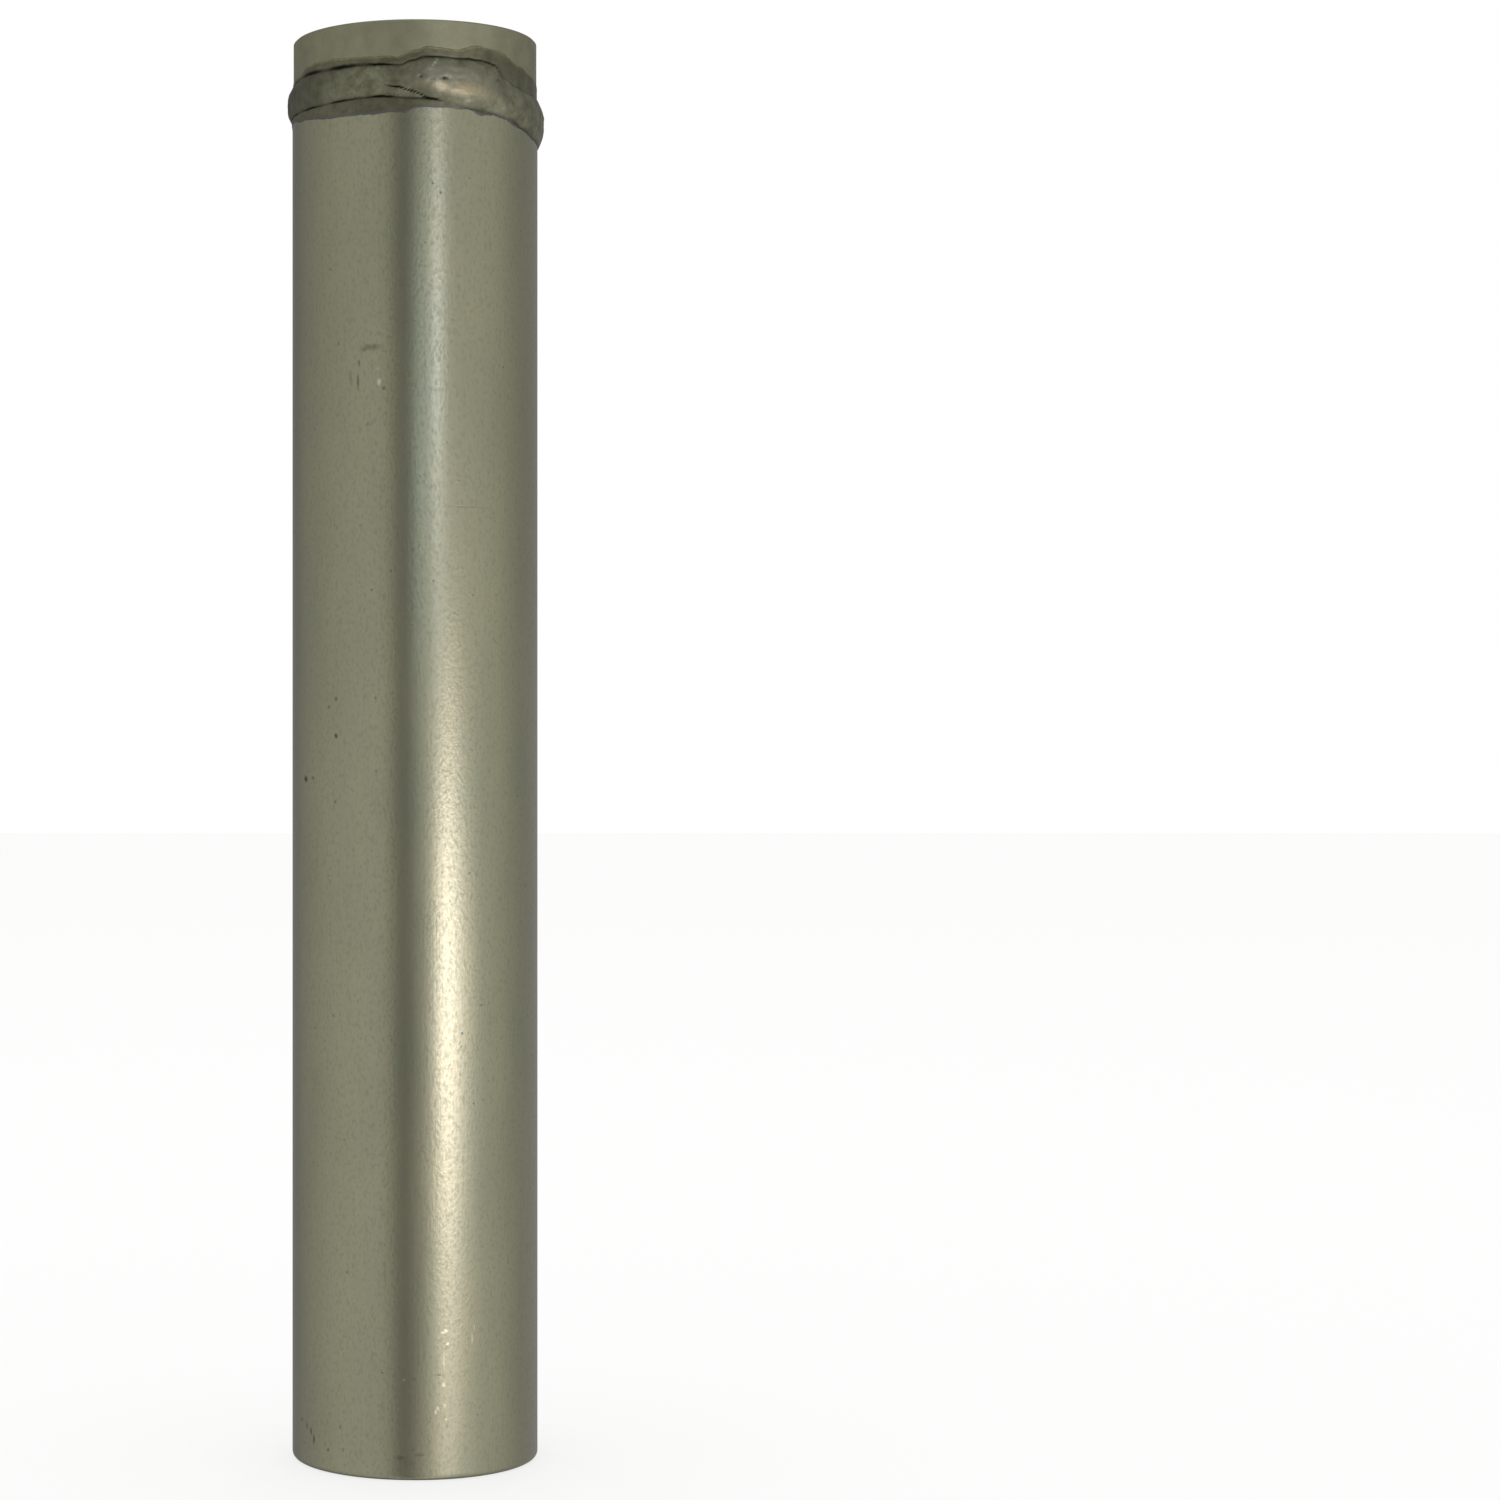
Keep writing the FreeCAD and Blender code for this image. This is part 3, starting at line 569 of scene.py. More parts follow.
elbow = elbow_half("rubber_elbow", ELBOW_LEG)
arm = elbow_half("elbow_arm", ELBOW_ARM)
arm.rotation_mode = "QUATERNION"
arm.rotation_quaternion = (CROSS_TUBE_MIDDLE - elbow_corner).to_track_quat("-Z", "Y")
settle(arm)
union = elbow.modifiers.new("union", "BOOLEAN")
union.operation = "UNION"
union.object = arm
mould = elbow.modifiers.new("mould", "REMESH")
mould.mode = "VOXEL"
mould.voxel_size = VOXEL
soften = elbow.modifiers.new("soften", "SMOOTH")
soften.iterations = 4
apply_modifiers(elbow)
bpy.data.objects.remove(arm)
elbow.location = elbow_corner
settle(elbow)
smooth(elbow, 60)
print("elbow:", len(elbow.data.polygons), "faces")

# %% [markdown]
# The other pieces inside keep the measured shape. The frame stores them as loose triangles, which shade flat,
# so each is copied, its points are merged and it is shaded smooth up to its real edges.

# %% Inner pieces
INNER = {
    "cross_tube": "bent_tube",
    "dip_tube": "pickup_tube",
    "strainer": "foot_strainer",
    "strainer_gauze": "strainer_sleeve",
    "spring": "coil_spring",
    "lower_plate": "lower_cup",
    "lower_screen": "lower_gauze",
    "lower_felt": "lower_pad",
    "desiccant_bed": "bead_bed",
    "upper_felt": "upper_pad",
    "upper_screen": "upper_gauze",
    "upper_plate": "upper_cup",
    "lock_ring": "toothed_ring",
}


def smooth_copy(node, name):
    """Merged, smooth copy of a node of the frame."""
    piece = bpy.data.objects.new(name, frame["nodes"][node].data.copy())
    bpy.context.scene.collection.objects.link(piece)
    make_active(piece)
    bpy.ops.object.mode_set(mode="EDIT")
    bpy.ops.mesh.select_mode(type="VERT")
    bpy.ops.mesh.select_all(action="SELECT")
    bpy.ops.mesh.remove_doubles(threshold=MERGE / 2)
    bpy.ops.object.mode_set(mode="OBJECT")
    smooth(piece, 35)
    return piece


inner = {node: smooth_copy(node, name) for node, name in INNER.items()}
print("inner pieces:", len(inner))

# %% [markdown]
# Materials are built from a few nodes each. One function adds a node: its inputs as values or as the outputs
# they come from, its settings by name, and it gives back the output asked for. Colours are written as on a
# colour chart and turned to linear light. Object coordinates in millimetres place every texture.

# %% Node helper
def colour(code):
    """Linear colour with alpha from an sRGB hex code."""
    channels = []
    for i in (1, 3, 5):
        value = int(code[i:i + 2], 16) / 255
        channels.append(value / 12.92 if value <= 0.04045 else ((value + 0.055) / 1.055) ** 2.4)
    return (*channels, 1.0)


def add(tree, kind, inputs=None, out=0, **settings):
    """Adds a shader node, with inputs by name or number, and returns its output out."""
    made = tree.nodes.new("ShaderNode" + kind)
    for name, value in settings.items():
        setattr(made, name, value)
    for key, value in (inputs or {}).items():
        if isinstance(value, bpy.types.NodeSocket):
            tree.links.new(value, made.inputs[key])
        else:
            made.inputs[key].default_value = value
    return made.outputs[out] if made.outputs else None


def new_material(name):
    """Empty material, its tree, and object coordinates in millimetres."""
    material = bpy.data.materials.new(name)
    material.use_nodes = True
    tree = material.node_tree
    tree.nodes.clear()
    source = add(tree, "TexCoord", out="Object")
    return material, tree, add(tree, "VectorMath", {0: source, "Scale": 1 / MM}, operation="SCALE")


print("olive grey of the can in linear light:", [round(value, 3) for value in colour("#8b8b76")])

# %% [markdown]
# Handling left marks: dirt specks, a scuff, nicks and a scratch on the weld, whose glints are painted light,
# and a warm painted highlight on the weld.
# Each is listed with the pixel where the photograph shows it, and becomes a soft spot on the surface there.

# %% Marks from handling
# Pixel of the photograph, width and height in millimetres, strength.
DIRT = [
    ((372, 348), 1.7, 0.5, 0.45), ((364, 350), 0.5, 0.4, 0.5), ((359, 364), 0.25, 0.6, 0.5),
    ((358, 383), 0.25, 1.4, 0.5), ((351, 380), 0.3, 1.2, 0.25), ((384, 389), 0.35, 0.35, 0.5),
    ((401, 366), 0.9, 0.22, 0.35), ((368, 425), 0.3, 0.3, 0.4), ((336, 737), 0.36, 0.4, 0.95),
    ((336, 700), 0.32, 0.36, 0.5), ((329, 708), 0.3, 0.3, 0.45), ((306, 780), 0.6, 0.5, 1.0),
    ((313, 779), 0.5, 0.28, 0.5), ((376, 772), 0.25, 0.3, 0.35), ((335, 803), 0.3, 0.35, 0.4),
    ((302, 1420), 0.6, 0.3, 0.4), ((307, 1426), 0.5, 0.6, 0.45),
    ((311, 1432), 0.35, 0.7, 0.6), ((314, 1440), 0.3, 0.9, 0.75), ((328, 1451), 0.35, 0.3, 0.5),
    ((343, 1451), 0.3, 0.3, 0.45), ((340, 1428), 0.25, 0.3, 0.4), ((401, 1459), 0.9, 0.5, 0.6),
    ((408, 1464), 1.2, 0.7, 0.4), ((419, 1456), 0.7, 0.3, 0.45), ((414, 1381), 0.3, 0.3, 0.5),
    ((438, 1376), 0.7, 0.15, 0.45), ((466, 508), 4.0, 0.12, 0.25),
]
# Nicks: real marks, whose glints are painted in a light colour.
NICKS_AND_GLINTS = [
    ((379, 383), 0.35, 0.6, 0.8), ((443, 1333), 0.35, 0.25, 0.5), ((446, 1331), 0.35, 0.3, 0.7),
    ((448, 1344), 0.25, 0.25, 0.6), ((444, 1361), 0.2, 1.4, 0.35), ((444, 1385), 0.35, 0.45, 0.6),
    ((438, 1409), 0.3, 0.35, 0.5), ((436, 1413), 0.25, 0.4, 0.5), ((445, 1406), 0.3, 0.4, 0.35),
    ((446, 1420), 0.2, 0.25, 0.4), ((474, 1328), 0.12, 0.7, 0.4), ((472, 1339), 0.15, 0.9, 0.5),
    ((404, 1381), 0.2, 0.3, 0.35), ((378, 370), 0.25, 0.3, 0.3),
]
# Painted highlight: a warm light patch on the short pass of the weld, where light falls on its belly.
WELD_HIGHLIGHT = [
    ((428, 84), 2.0, 0.9, 0.45), ((442, 88), 2.4, 0.9, 0.5), ((464, 91), 3.4, 1.1, 0.7),
    ((484, 97), 2.4, 0.9, 0.25),
]
# A scratch on the weld, its glint painted near white.
SCRATCH_AND_GLINT = [((437, 61), 0.22, 0.25, 0.25), ((435, 64), 0.22, 0.3, 0.35), ((433, 67), 0.22, 0.3, 0.25)]
# The scratch lies on the raised weld, so its spots are longer from front to back by this many millimetres.
SCRATCH_REACH = 1.0
# Where a spot starts to fade and where it ends, in its own half widths.
SPOT_CORE, SPOT_EDGE = 0.35, 1.3


def marks_on_can(tree, marks, reach=0.0):
    """How strongly the surface is marked; each mark is a soft spot, reach mm longer from front to back."""
    source = add(tree, "TexCoord", out="Object")
    covered = 0.0
    for pixel, wide, tall, strength in marks:
        stretch = Vector((1 / wide, 1 / (wide + reach), 1 / tall)) / MM
        moved = add(tree, "Mapping", {
            "Vector": source, "Location": -place_on_can(*pixel) * stretch, "Scale": stretch})
        away = add(tree, "VectorMath", {0: moved}, "Value", operation="LENGTH")
        spot = add(tree, "MapRange", {
            0: away, 1: SPOT_CORE, 2: SPOT_EDGE, 3: strength, 4: 0.0})
        covered = add(tree, "Math", {0: spot, 1: covered}, operation="MAXIMUM")
    return covered


# The last count is of the spots of painted highlight on the weld.
print(len(DIRT), "dirt marks,", len(NICKS_AND_GLINTS), "nicks and", len(WELD_HIGHLIGHT), "bare spots on the weld")

# %% [markdown]
# Drawn aluminium: pulled through a die, then lightly etched, so it is satin, with fine lines along the can.
# It looks olive grey in the photograph. The lines are about 0.05 mm apart, too fine to show, so they are
# 0.3 mm apart here. The etch darkens and roughens the metal in specks, which breaks up the highlight.

# %% Drawn aluminium
def make_drawn_aluminium():
    material, tree, place = new_material("drawn_aluminium_satin")
    along = add(tree, "Mapping", {"Vector": place, "Scale": (1, 1, 0.015)})
    lines = add(tree, "TexNoise", {"Vector": along, "Scale": 3.4, "Detail": 4.0, "Roughness": 0.6})
    drawn = add(tree, "Mapping", {"Vector": place, "Scale": (1, 1, 0.6)})
    etch = add(tree, "TexNoise", {"Vector": drawn, "Scale": 2.2, "Detail": 4.0, "Roughness": 0.6})
    tall = add(tree, "Mapping", {"Vector": place, "Scale": (1, 1, 0.35)})
    cloud = add(tree, "TexNoise", {"Vector": tall, "Scale": 0.1, "Detail": 4.0, "Roughness": 0.6})
    cells = add(tree, "TexVoronoi", {"Vector": place, "Scale": 0.5})
    pits = add(tree, "MapRange", {0: cells, 1: 0.06, 2: 0.13, 3: 0.5, 4: 0.0})
    rare = add(tree, "TexNoise", {"Vector": place, "Scale": 0.35})
    rare = add(tree, "MapRange", {0: rare, 1: 0.56, 2: 0.62})
    pits = add(tree, "Math", {0: pits, 1: rare}, operation="MULTIPLY")
    dirt = add(tree, "Math", {0: marks_on_can(tree, DIRT), 1: pits}, operation="MAXIMUM")
    ragged = add(tree, "MapRange", {0: etch, 1: 0.35, 2: 0.55, 3: 0.65, 4: 1.0})
    dirt = add(tree, "Math", {0: dirt, 1: ragged}, operation="MULTIPLY")
    # Nicks and their painted glints: the light colour stands in for the light they catch.
    nicks_and_glints = add(tree, "Math", {0: marks_on_can(tree, NICKS_AND_GLINTS), 1: ragged}, operation="MULTIPLY")

    tone = colour("#868671")
    for cover, paint in (
            (add(tree, "MapRange", {0: cloud, 1: 0.35, 2: 0.68}), "#8e8c74"),
            (add(tree, "MapRange", {0: lines, 1: 0.3, 2: 0.7, 4: 0.12}), "#9a9b87"),
            (add(tree, "MapRange", {0: etch, 1: 0.5, 2: 0.68, 4: 0.32}), "#666655"),
            (dirt, "#34342a"), (nicks_and_glints, "#bcb9a6")):
        tone = add(tree, "Mix", {0: cover, 6: tone, 7: colour(paint)}, 2, data_type="RGBA")

    rough = add(tree, "MapRange", {0: etch, 1: 0.3, 2: 0.7, 3: 0.19, 4: 0.26})
    rough = add(tree, "Math", {0: dirt, 1: 0.25, 2: rough}, operation="MULTIPLY_ADD")
    relief = add(tree, "Math", {0: lines, 1: 0.25, 2: etch}, operation="MULTIPLY_ADD")
    relief = add(tree, "Math", {0: nicks_and_glints, 1: -0.8, 2: relief}, operation="MULTIPLY_ADD")
    bump = add(tree, "Bump", {"Height": relief, "Strength": 0.4, "Distance": 0.05 * MM})
    round_axis = add(tree, "Tangent", direction_type="RADIAL", axis="Z")
    shader = add(tree, "BsdfPrincipled", {
        "Base Color": tone, "Metallic": 1.0, "Roughness": rough, "Anisotropic": 0.5, "Normal": bump,
        "Tangent": round_axis})
    add(tree, "OutputMaterial", {"Surface": shader})
    return material


can_material = make_drawn_aluminium()
print("nodes of the can's finish:", len(can_material.node_tree.nodes))

# %% [markdown]
# Turned aluminium: the tool left rings round the axis of the head, here drawn 0.2 mm apart. Such rings throw
# the light across themselves, in cones that meet in the middle of the face. An anisotropic gloss does that:
# its tangent runs round the axis, and a quarter turn lays the stretch across the rings. The band below the
# face is duller than the can.

# %% Turned aluminium
def make_turned_aluminium():
    material, tree, place = new_material("turned_aluminium_rings")
    flat = add(tree, "VectorMath", {0: place, 1: (1, 1, 0)}, operation="MULTIPLY")
    radius = add(tree, "VectorMath", {0: flat}, "Value", operation="LENGTH")
    rings = add(tree, "TexNoise", {
        "W": radius, "Scale": 5.0, "Detail": 4.0, "Roughness": 0.7}, noise_dimensions="1D")
    wide = add(tree, "TexNoise", {"W": radius, "Scale": 0.35, "Detail": 1.0}, noise_dimensions="1D")
    normal = add(tree, "NewGeometry", out="Normal")
    upright = add(tree, "SeparateXYZ", {0: normal}, 2)
    is_face = add(tree, "MapRange", {0: upright, 1: 0.85, 2: 0.95})
    cloud = add(tree, "TexNoise", {"Vector": place, "Scale": 0.3, "Detail": 4.0, "Roughness": 0.6})
    share = add(tree, "MapRange", {0: cloud, 1: 0.35, 2: 0.65})
    band = add(tree, "Mix", {
        0: share, 6: colour("#82816a"), 7: colour("#8c8b73")}, 2, data_type="RGBA")
    face = colour("#8c8b76")
    for cover, paint in (
            (add(tree, "MapRange", {0: wide, 1: 0.35, 2: 0.65}), "#93927c"),
            (add(tree, "MapRange", {0: rings, 1: 0.3, 2: 0.7, 4: 0.3}), "#a3a28f")):
        face = add(tree, "Mix", {0: cover, 6: face, 7: colour(paint)}, 2, data_type="RGBA")
    tone = add(tree, "Mix", {0: is_face, 6: band, 7: face}, 2, data_type="RGBA")
    cells = add(tree, "TexVoronoi", {"Vector": place, "Scale": 0.45})
    specks = add(tree, "MapRange", {0: cells, 1: 0.035, 2: 0.06, 3: 0.5, 4: 0.0})
    tone = add(tree, "Mix", {0: specks, 6: tone, 7: colour("#4b4a3e")}, 2, data_type="RGBA")

    rough = add(tree, "MapRange", {0: is_face, 3: 0.55, 4: 0.2})
    directed = add(tree, "MapRange", {0: is_face, 4: 0.95})
    bump = add(tree, "Bump", {"Height": rings, "Strength": 0.2, "Distance": 0.03 * MM})
    round_axis = add(tree, "Tangent", direction_type="RADIAL", axis="Z")
    shader = add(tree, "BsdfPrincipled", {
        "Base Color": tone, "Metallic": 1.0, "Roughness": rough, "Anisotropic": directed,
        "Anisotropic Rotation": 0.25, "Normal": bump, "Tangent": round_axis})
    add(tree, "OutputMaterial", {"Surface": shader})
    return material


head_material = make_turned_aluminium()
print("nodes of the head's finish:", len(head_material.node_tree.nodes))

# %% [markdown]
# Inside the ports the metal was bored and never cleaned, so it is a little oily, and it is painted darker
# with depth as shade. The two holes behind, the outlet and the bolt's, hold their own shadow, painted black
# right below the face. This second material goes on those faces only, found by their distance from the axis
# of each hole.

# %% Bored aluminium
# Millimetres below the face: where the painted shade starts and is darkest, and the same for the painted
# black of the blind holes.
SHADE_FROM, SHADE_TO = 2, 12
BLACK_FROM, BLACK_TO = 0.6, 3.8
SLACK = 0.01 * MM


def make_bored_aluminium():
    material, tree, place = new_material("bored_aluminium_oily")
    height = add(tree, "SeparateXYZ", {0: place}, 2)
    oil = add(tree, "TexNoise", {"Vector": place, "Scale": 0.5, "Detail": 4.0, "Roughness": 0.6})
    level = add(tree, "VectorMath", {0: place, 1: (0.02, 0.02, 1)}, operation="MULTIPLY")
    rings = add(tree, "TexNoise", {"Vector": level, "Scale": 4.0, "Detail": 3.0, "Roughness": 0.6})
    share = add(tree, "MapRange", {0: oil, 1: 0.3, 2: 0.7})
    # Painted shade: the bore darkens with depth.
    deep = add(tree, "MapRange", {
        0: height, 1: TOP / MM - SHADE_TO, 2: TOP / MM - SHADE_FROM, 3: 0.3, 4: 0.0})
    across = add(tree, "SeparateXYZ", {0: place}, 1)
    is_blind = add(tree, "MapRange", {0: across, 1: 0.0, 2: 0.1})
    # Painted shadow: the blind holes go black just below the face.
    black = add(tree, "MapRange", {
        0: height, 1: TOP / MM - BLACK_TO, 2: TOP / MM - BLACK_FROM, 3: 0.98, 4: 0.0})
    black = add(tree, "Math", {0: black, 1: is_blind}, operation="MULTIPLY")
    tone = colour("#bab8a4")
    for cover, paint in ((share, "#d4d2bf"), (deep, "#3a392f"), (black, "#0a0a08")):
        tone = add(tree, "Mix", {0: cover, 6: tone, 7: colour(paint)}, 2, data_type="RGBA")
    rough = add(tree, "MapRange", {0: oil, 1: 0.3, 2: 0.7, 3: 0.28, 4: 0.42})
    bump = add(tree, "Bump", {"Height": rings, "Strength": 0.4, "Distance": 0.04 * MM})
    shader = add(tree, "BsdfPrincipled", {
        "Base Color": tone, "Metallic": 1.0, "Roughness": rough, "Normal": bump})
    add(tree, "OutputMaterial", {"Surface": shader})
    return material


bore_material = make_bored_aluminium()
HOLES = [(INLET, MOUTH_RADIUS), (OUTLET, MOUTH_RADIUS), (BOLT, COUNTERSINK)]


def is_in_a_hole(polygon):
    """True for a face of a bore: near a hole's axis, below the broken edge of the face."""
    if polygon.center.z > TOP - EDGE_ROUND or polygon.center.z < UNDERSIDE + SLACK:
        return False
    return any((polygon.center.xy - hole.xy).length < radius + SLACK for hole, radius in HOLES)


print("bored faces of the head:", sum(is_in_a_hole(polygon) for polygon in head.data.polygons))

# %% [markdown]
# Weld metal: aluminium that melted and froze. Its skin is dull and grey-green on the long pass, brighter on
# the short one, and stained where only a thin film spread. The grooves and pits get painted shade, nearly
# black, and the left side of the weld painted shade as well. The film is yellowish along its upper edge and
# bluish along its lower one, as heat tints are. The attributes say which is where. A warm painted highlight
# lies on the short pass, and one short scratch with a painted glint.

# %% Weld metal
def make_weld_metal():
    material, tree, place = new_material("weld_metal_frozen")
    stained, grooved, bright, edged = (
        add(tree, "Attribute", None, "Fac", attribute_name=name) for name in SKIN)
    patches = add(tree, "TexNoise", {
        "Vector": place, "Scale": 0.4, "Detail": 6.0, "Roughness": 0.65})
    fine = add(tree, "TexNoise", {"Vector": place, "Scale": 2.4, "Detail": 4.0, "Roughness": 0.65})
    across = add(tree, "SeparateXYZ", {0: place}, 0)
    share = add(tree, "MapRange", {0: patches, 1: 0.36, 2: 0.64})
    film = add(tree, "Mix", {
        0: share, 6: colour("#575644"), 7: colour("#6f6e58")}, 2, data_type="RGBA")
    # Painted shade: grooves and pits turn nearly black.
    shaded_grooves = add(tree, "MapRange", {0: grooved, 1: 0.1, 2: 0.7, 4: 0.95})
    # Painted shade: the weld darkens towards the left side.
    painted_shade_left = add(tree, "MapRange", {0: across, 1: -19.5, 2: -9.0, 3: 0.65, 4: 0.0})
    blue = add(tree, "MapRange", {0: edged, 1: 0.1, 2: 0.9, 4: 0.75})
    yellow = add(tree, "MapRange", {0: edged, 1: -0.9, 2: -0.1, 3: 0.8, 4: 0.0})
    dull = add(tree, "MapRange", {0: fine, 1: 0.35, 2: 0.7, 4: 0.35})
    # Painted highlight on the short pass: a warm light colour stands in for the highlight there.
    painted_highlight = marks_on_can(tree, WELD_HIGHLIGHT)
    # Scratch with its glint painted near white.
    scratch_and_glint = marks_on_can(tree, SCRATCH_AND_GLINT, SCRATCH_REACH)
    tone = colour("#65644e")
    for cover, paint in (
            (share, colour("#868670")), (painted_shade_left, colour("#3c3c2f")), (bright, colour("#7f7e6c")),
            (painted_highlight, colour("#b0a282")), (stained, film), (blue, colour("#5d5e66")),
            (yellow, colour("#908b64")), (dull, colour("#54544a")), (shaded_grooves, colour("#1c1c17")),
            (scratch_and_glint, colour("#e4e2d4"))):
        tone = add(tree, "Mix", {0: cover, 6: tone, 7: paint}, 2, data_type="RGBA")

    rough = add(tree, "MapRange", {0: bright, 3: 0.555, 4: 0.415})
    uneven = add(tree, "Math", {0: patches, 1: -0.15, 2: rough}, operation="MULTIPLY_ADD")
    rough = add(tree, "Math", {0: shaded_grooves, 1: 0.4, 2: uneven}, operation="MULTIPLY_ADD")
    bump = add(tree, "Bump", {"Height": fine, "Strength": 0.35, "Distance": 0.1 * MM})
    shader = add(tree, "BsdfPrincipled", {
        "Base Color": tone, "Metallic": 1.0, "Roughness": rough, "Normal": bump})
    add(tree, "OutputMaterial", {"Surface": shader})
    return material


weld_material = make_weld_metal()
print("nodes of the weld's finish:", len(weld_material.node_tree.nodes))

# %% [markdown]
# The pieces inside are seen only through the lower port, yet each has the finish of its own making: matt
# extruded tube, moulded rubber and nylon, bright wire, plated sheet, felt and clay beads.

# %% Inner finishes
# Above this height the tube is painted black as shade, where it runs up into the head.
SHADE_ABOVE = TOP - 16 * MM


def make_plain(name, low, high, rough, metallic, scale, relief, shade_above=1.0):
    """Wandering colour and gloss, scale features per mm, relief in mm; painted shade, black above a height in
    m.
    """
    material, tree, place = new_material(name)
    patches = add(tree, "TexNoise", {
        "Vector": place, "Scale": scale, "Detail": 4.0, "Roughness": 0.6})
    share = add(tree, "MapRange", {0: patches, 1: 0.3, 2: 0.7})
    up = add(tree, "SeparateXYZ", {0: place}, 2)
    # Painted shade: black above the given height.
    shaded_above = add(tree, "MapRange", {0: up, 1: shade_above / MM, 2: shade_above / MM + 2})
    tone = colour(low)
    for cover, paint in ((share, high), (shaded_above, "#0a0a08")):
        tone = add(tree, "Mix", {0: cover, 6: tone, 7: colour(paint)}, 2, data_type="RGBA")
    gloss = add(tree, "MapRange", {0: patches, 1: 0.3, 2: 0.7, 3: rough * 0.85, 4: rough * 1.1})
    bump = add(tree, "Bump", {"Height": patches, "Strength": 0.4, "Distance": relief * MM})
    shader = add(tree, "BsdfPrincipled", {
        "Base Color": tone, "Metallic": metallic, "Roughness": gloss, "Normal": bump})
    add(tree, "OutputMaterial", {"Surface": shader})
    return material


tube_material = make_plain(
    "extruded_aluminium_matt", "#b0ad98", "#ccc9b5", 0.50, 1.0, 1.8, 0.08, SHADE_ABOVE)
rubber_material = make_plain("moulded_rubber_black", "#292820", "#3b392d", 0.45, 0.0, 2.5, 0.05)
nylon_material = make_plain("moulded_nylon_black", "#1a1a19", "#2a2a28", 0.48, 0.0, 3.0, 0.03)
wire_material = make_plain("drawn_spring_wire", "#8a8a88", "#b0b0ad", 0.30, 1.0, 1.5, 0.02)
sheet_material = make_plain("plated_sheet_satin", "#b2b0a0", "#c8c6b7", 0.34, 1.0, 0.8, 0.02)
felt_material = make_plain("needled_felt", "#c9c6ba", "#e2e0d6", 0.95, 0.0, 3.5, 0.25)
beads_material = make_plain("clay_drying_beads", "#b4a184", "#d6c9b0", 0.85, 0.0, 0.7, 0.6)
gauze_material = make_plain("woven_wire_gauze", "#7b7b78", "#a5a5a2", 0.38, 1.0, 4.0, 0.1)
print("materials:", sorted(material.name for material in bpy.data.materials))

# %% [markdown]
# Each piece now takes its finish and rides on the one body of the part, and the node that it stands in for is
# hidden.

# %% Dress the pieces
FINISHES = [
    (tube_material, "tube_aluminium", ("cross_tube", "dip_tube")),
    (nylon_material, "black_nylon", ("strainer",)),
    (gauze_material, "wire_gauze", ("strainer_gauze", "lower_screen", "upper_screen")),
    (wire_material, "spring_steel", ("spring", "lock_ring")),
    (sheet_material, "plated_sheet", ("lower_plate", "upper_plate")),
    (felt_material, "filter_felt", ("lower_felt", "upper_felt")),
    (beads_material, "drying_beads", ("desiccant_bed",)),
]


def dress(piece, material, node=None):
    """Gives a piece its material and body, and hides the node that it stands in for."""
    piece.data.materials.clear()
    piece.data.materials.append(material)
    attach(piece, BODY)
    if node:
        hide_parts(node)


dress(can, can_material, "canister")
dress(head, head_material, "head")
dress(thread, bore_material)
dress(weld, weld_material, "weld_bead")
dress(elbow, rubber_material, "elbow")
for material, slot, nodes in FINISHES:
    for node in nodes:
        dress(inner[node], material, node)
head.data.materials.append(bore_material)
for polygon in head.data.polygons:
    polygon.material_index = int(is_in_a_hole(polygon))
print("bored faces:", sum(polygon.material_index for polygon in head.data.polygons))

# %% [markdown]
# The floor is pale and keeps the shadow. Its glow is for the camera only, so the white ground doesn't light
# the can from below. Reflections skip it and see the studio's surround instead, which runs on below it.

# %% Floor
FLOOR_SIZE = 8.0
GLOW = 1.1
GLOW_SHARE = 0.65

deselect_everything()
bpy.ops.mesh.primitive_plane_add(size=FLOOR_SIZE, location=(0, 0, 0))
floor = bpy.context.active_object
floor.name = "studio_floor"
floor.visible_glossy = False


def make_floor_material():
    material, tree, _ = new_material("pale_floor")
    matt = add(tree, "BsdfDiffuse", {"Color": colour("#f4f4f2")})
    glow = add(tree, "Emission", {"Color": colour("#ffffff"), "Strength": GLOW})
    seen = add(tree, "LightPath", out="Is Camera Ray")
    share = add(tree, "Math", {0: seen, 1: GLOW_SHARE}, operation="MULTIPLY")
    surface = add(tree, "MixShader", {0: share, 1: matt, 2: glow})
    add(tree, "OutputMaterial", {"Surface": surface})
    return material


floor.data.materials.append(make_floor_material())
print("floor:", FLOOR_SIZE, "m wide, at height", floor.location.z)

# %% [markdown]
# Light is what makes plain metal look like metal. The surround is even to the eye, but the can mirrors it in
# upright stripes, so its brightness goes by compass direction: dark behind the can and behind the camera,
# pale at the sides. Three soft strips stand right of the camera: a warm one low down, a cool one above it,
# and a weak blue one closer to the camera.

# %% Surround
# Degrees from the camera's side, growing to the right, and brightness.
SURROUND = [
    (-180, 0.30), (-146, 0.31), (-122, 0.60), (-90, 0.83), (-60, 0.95), (-32, 1.0), (-24, 0.88), (-15, 0.34),
    (-6, 0.34), (4, 0.70), (14, 1.0), (58, 1.1), (74, 1.02), (88, 0.90), (100, 0.74), (116, 0.60),
    (145, 0.46), (180, 0.30)]
# Degrees above the horizon and brightness.
SURROUND_HEIGHT = [(-60, 0.95), (-2, 1.0), (6, 0.88), (30, 0.88)]
# Degrees above the horizon where the sides give way to an even overhead light, and its brightness.
OVERHEAD_FROM, OVERHEAD_TO = 30, 65
OVERHEAD = 0.52
# What lights matt surfaces, and what the camera sees.
EVEN_LIGHT = 0.8
BACKDROP = 1.0
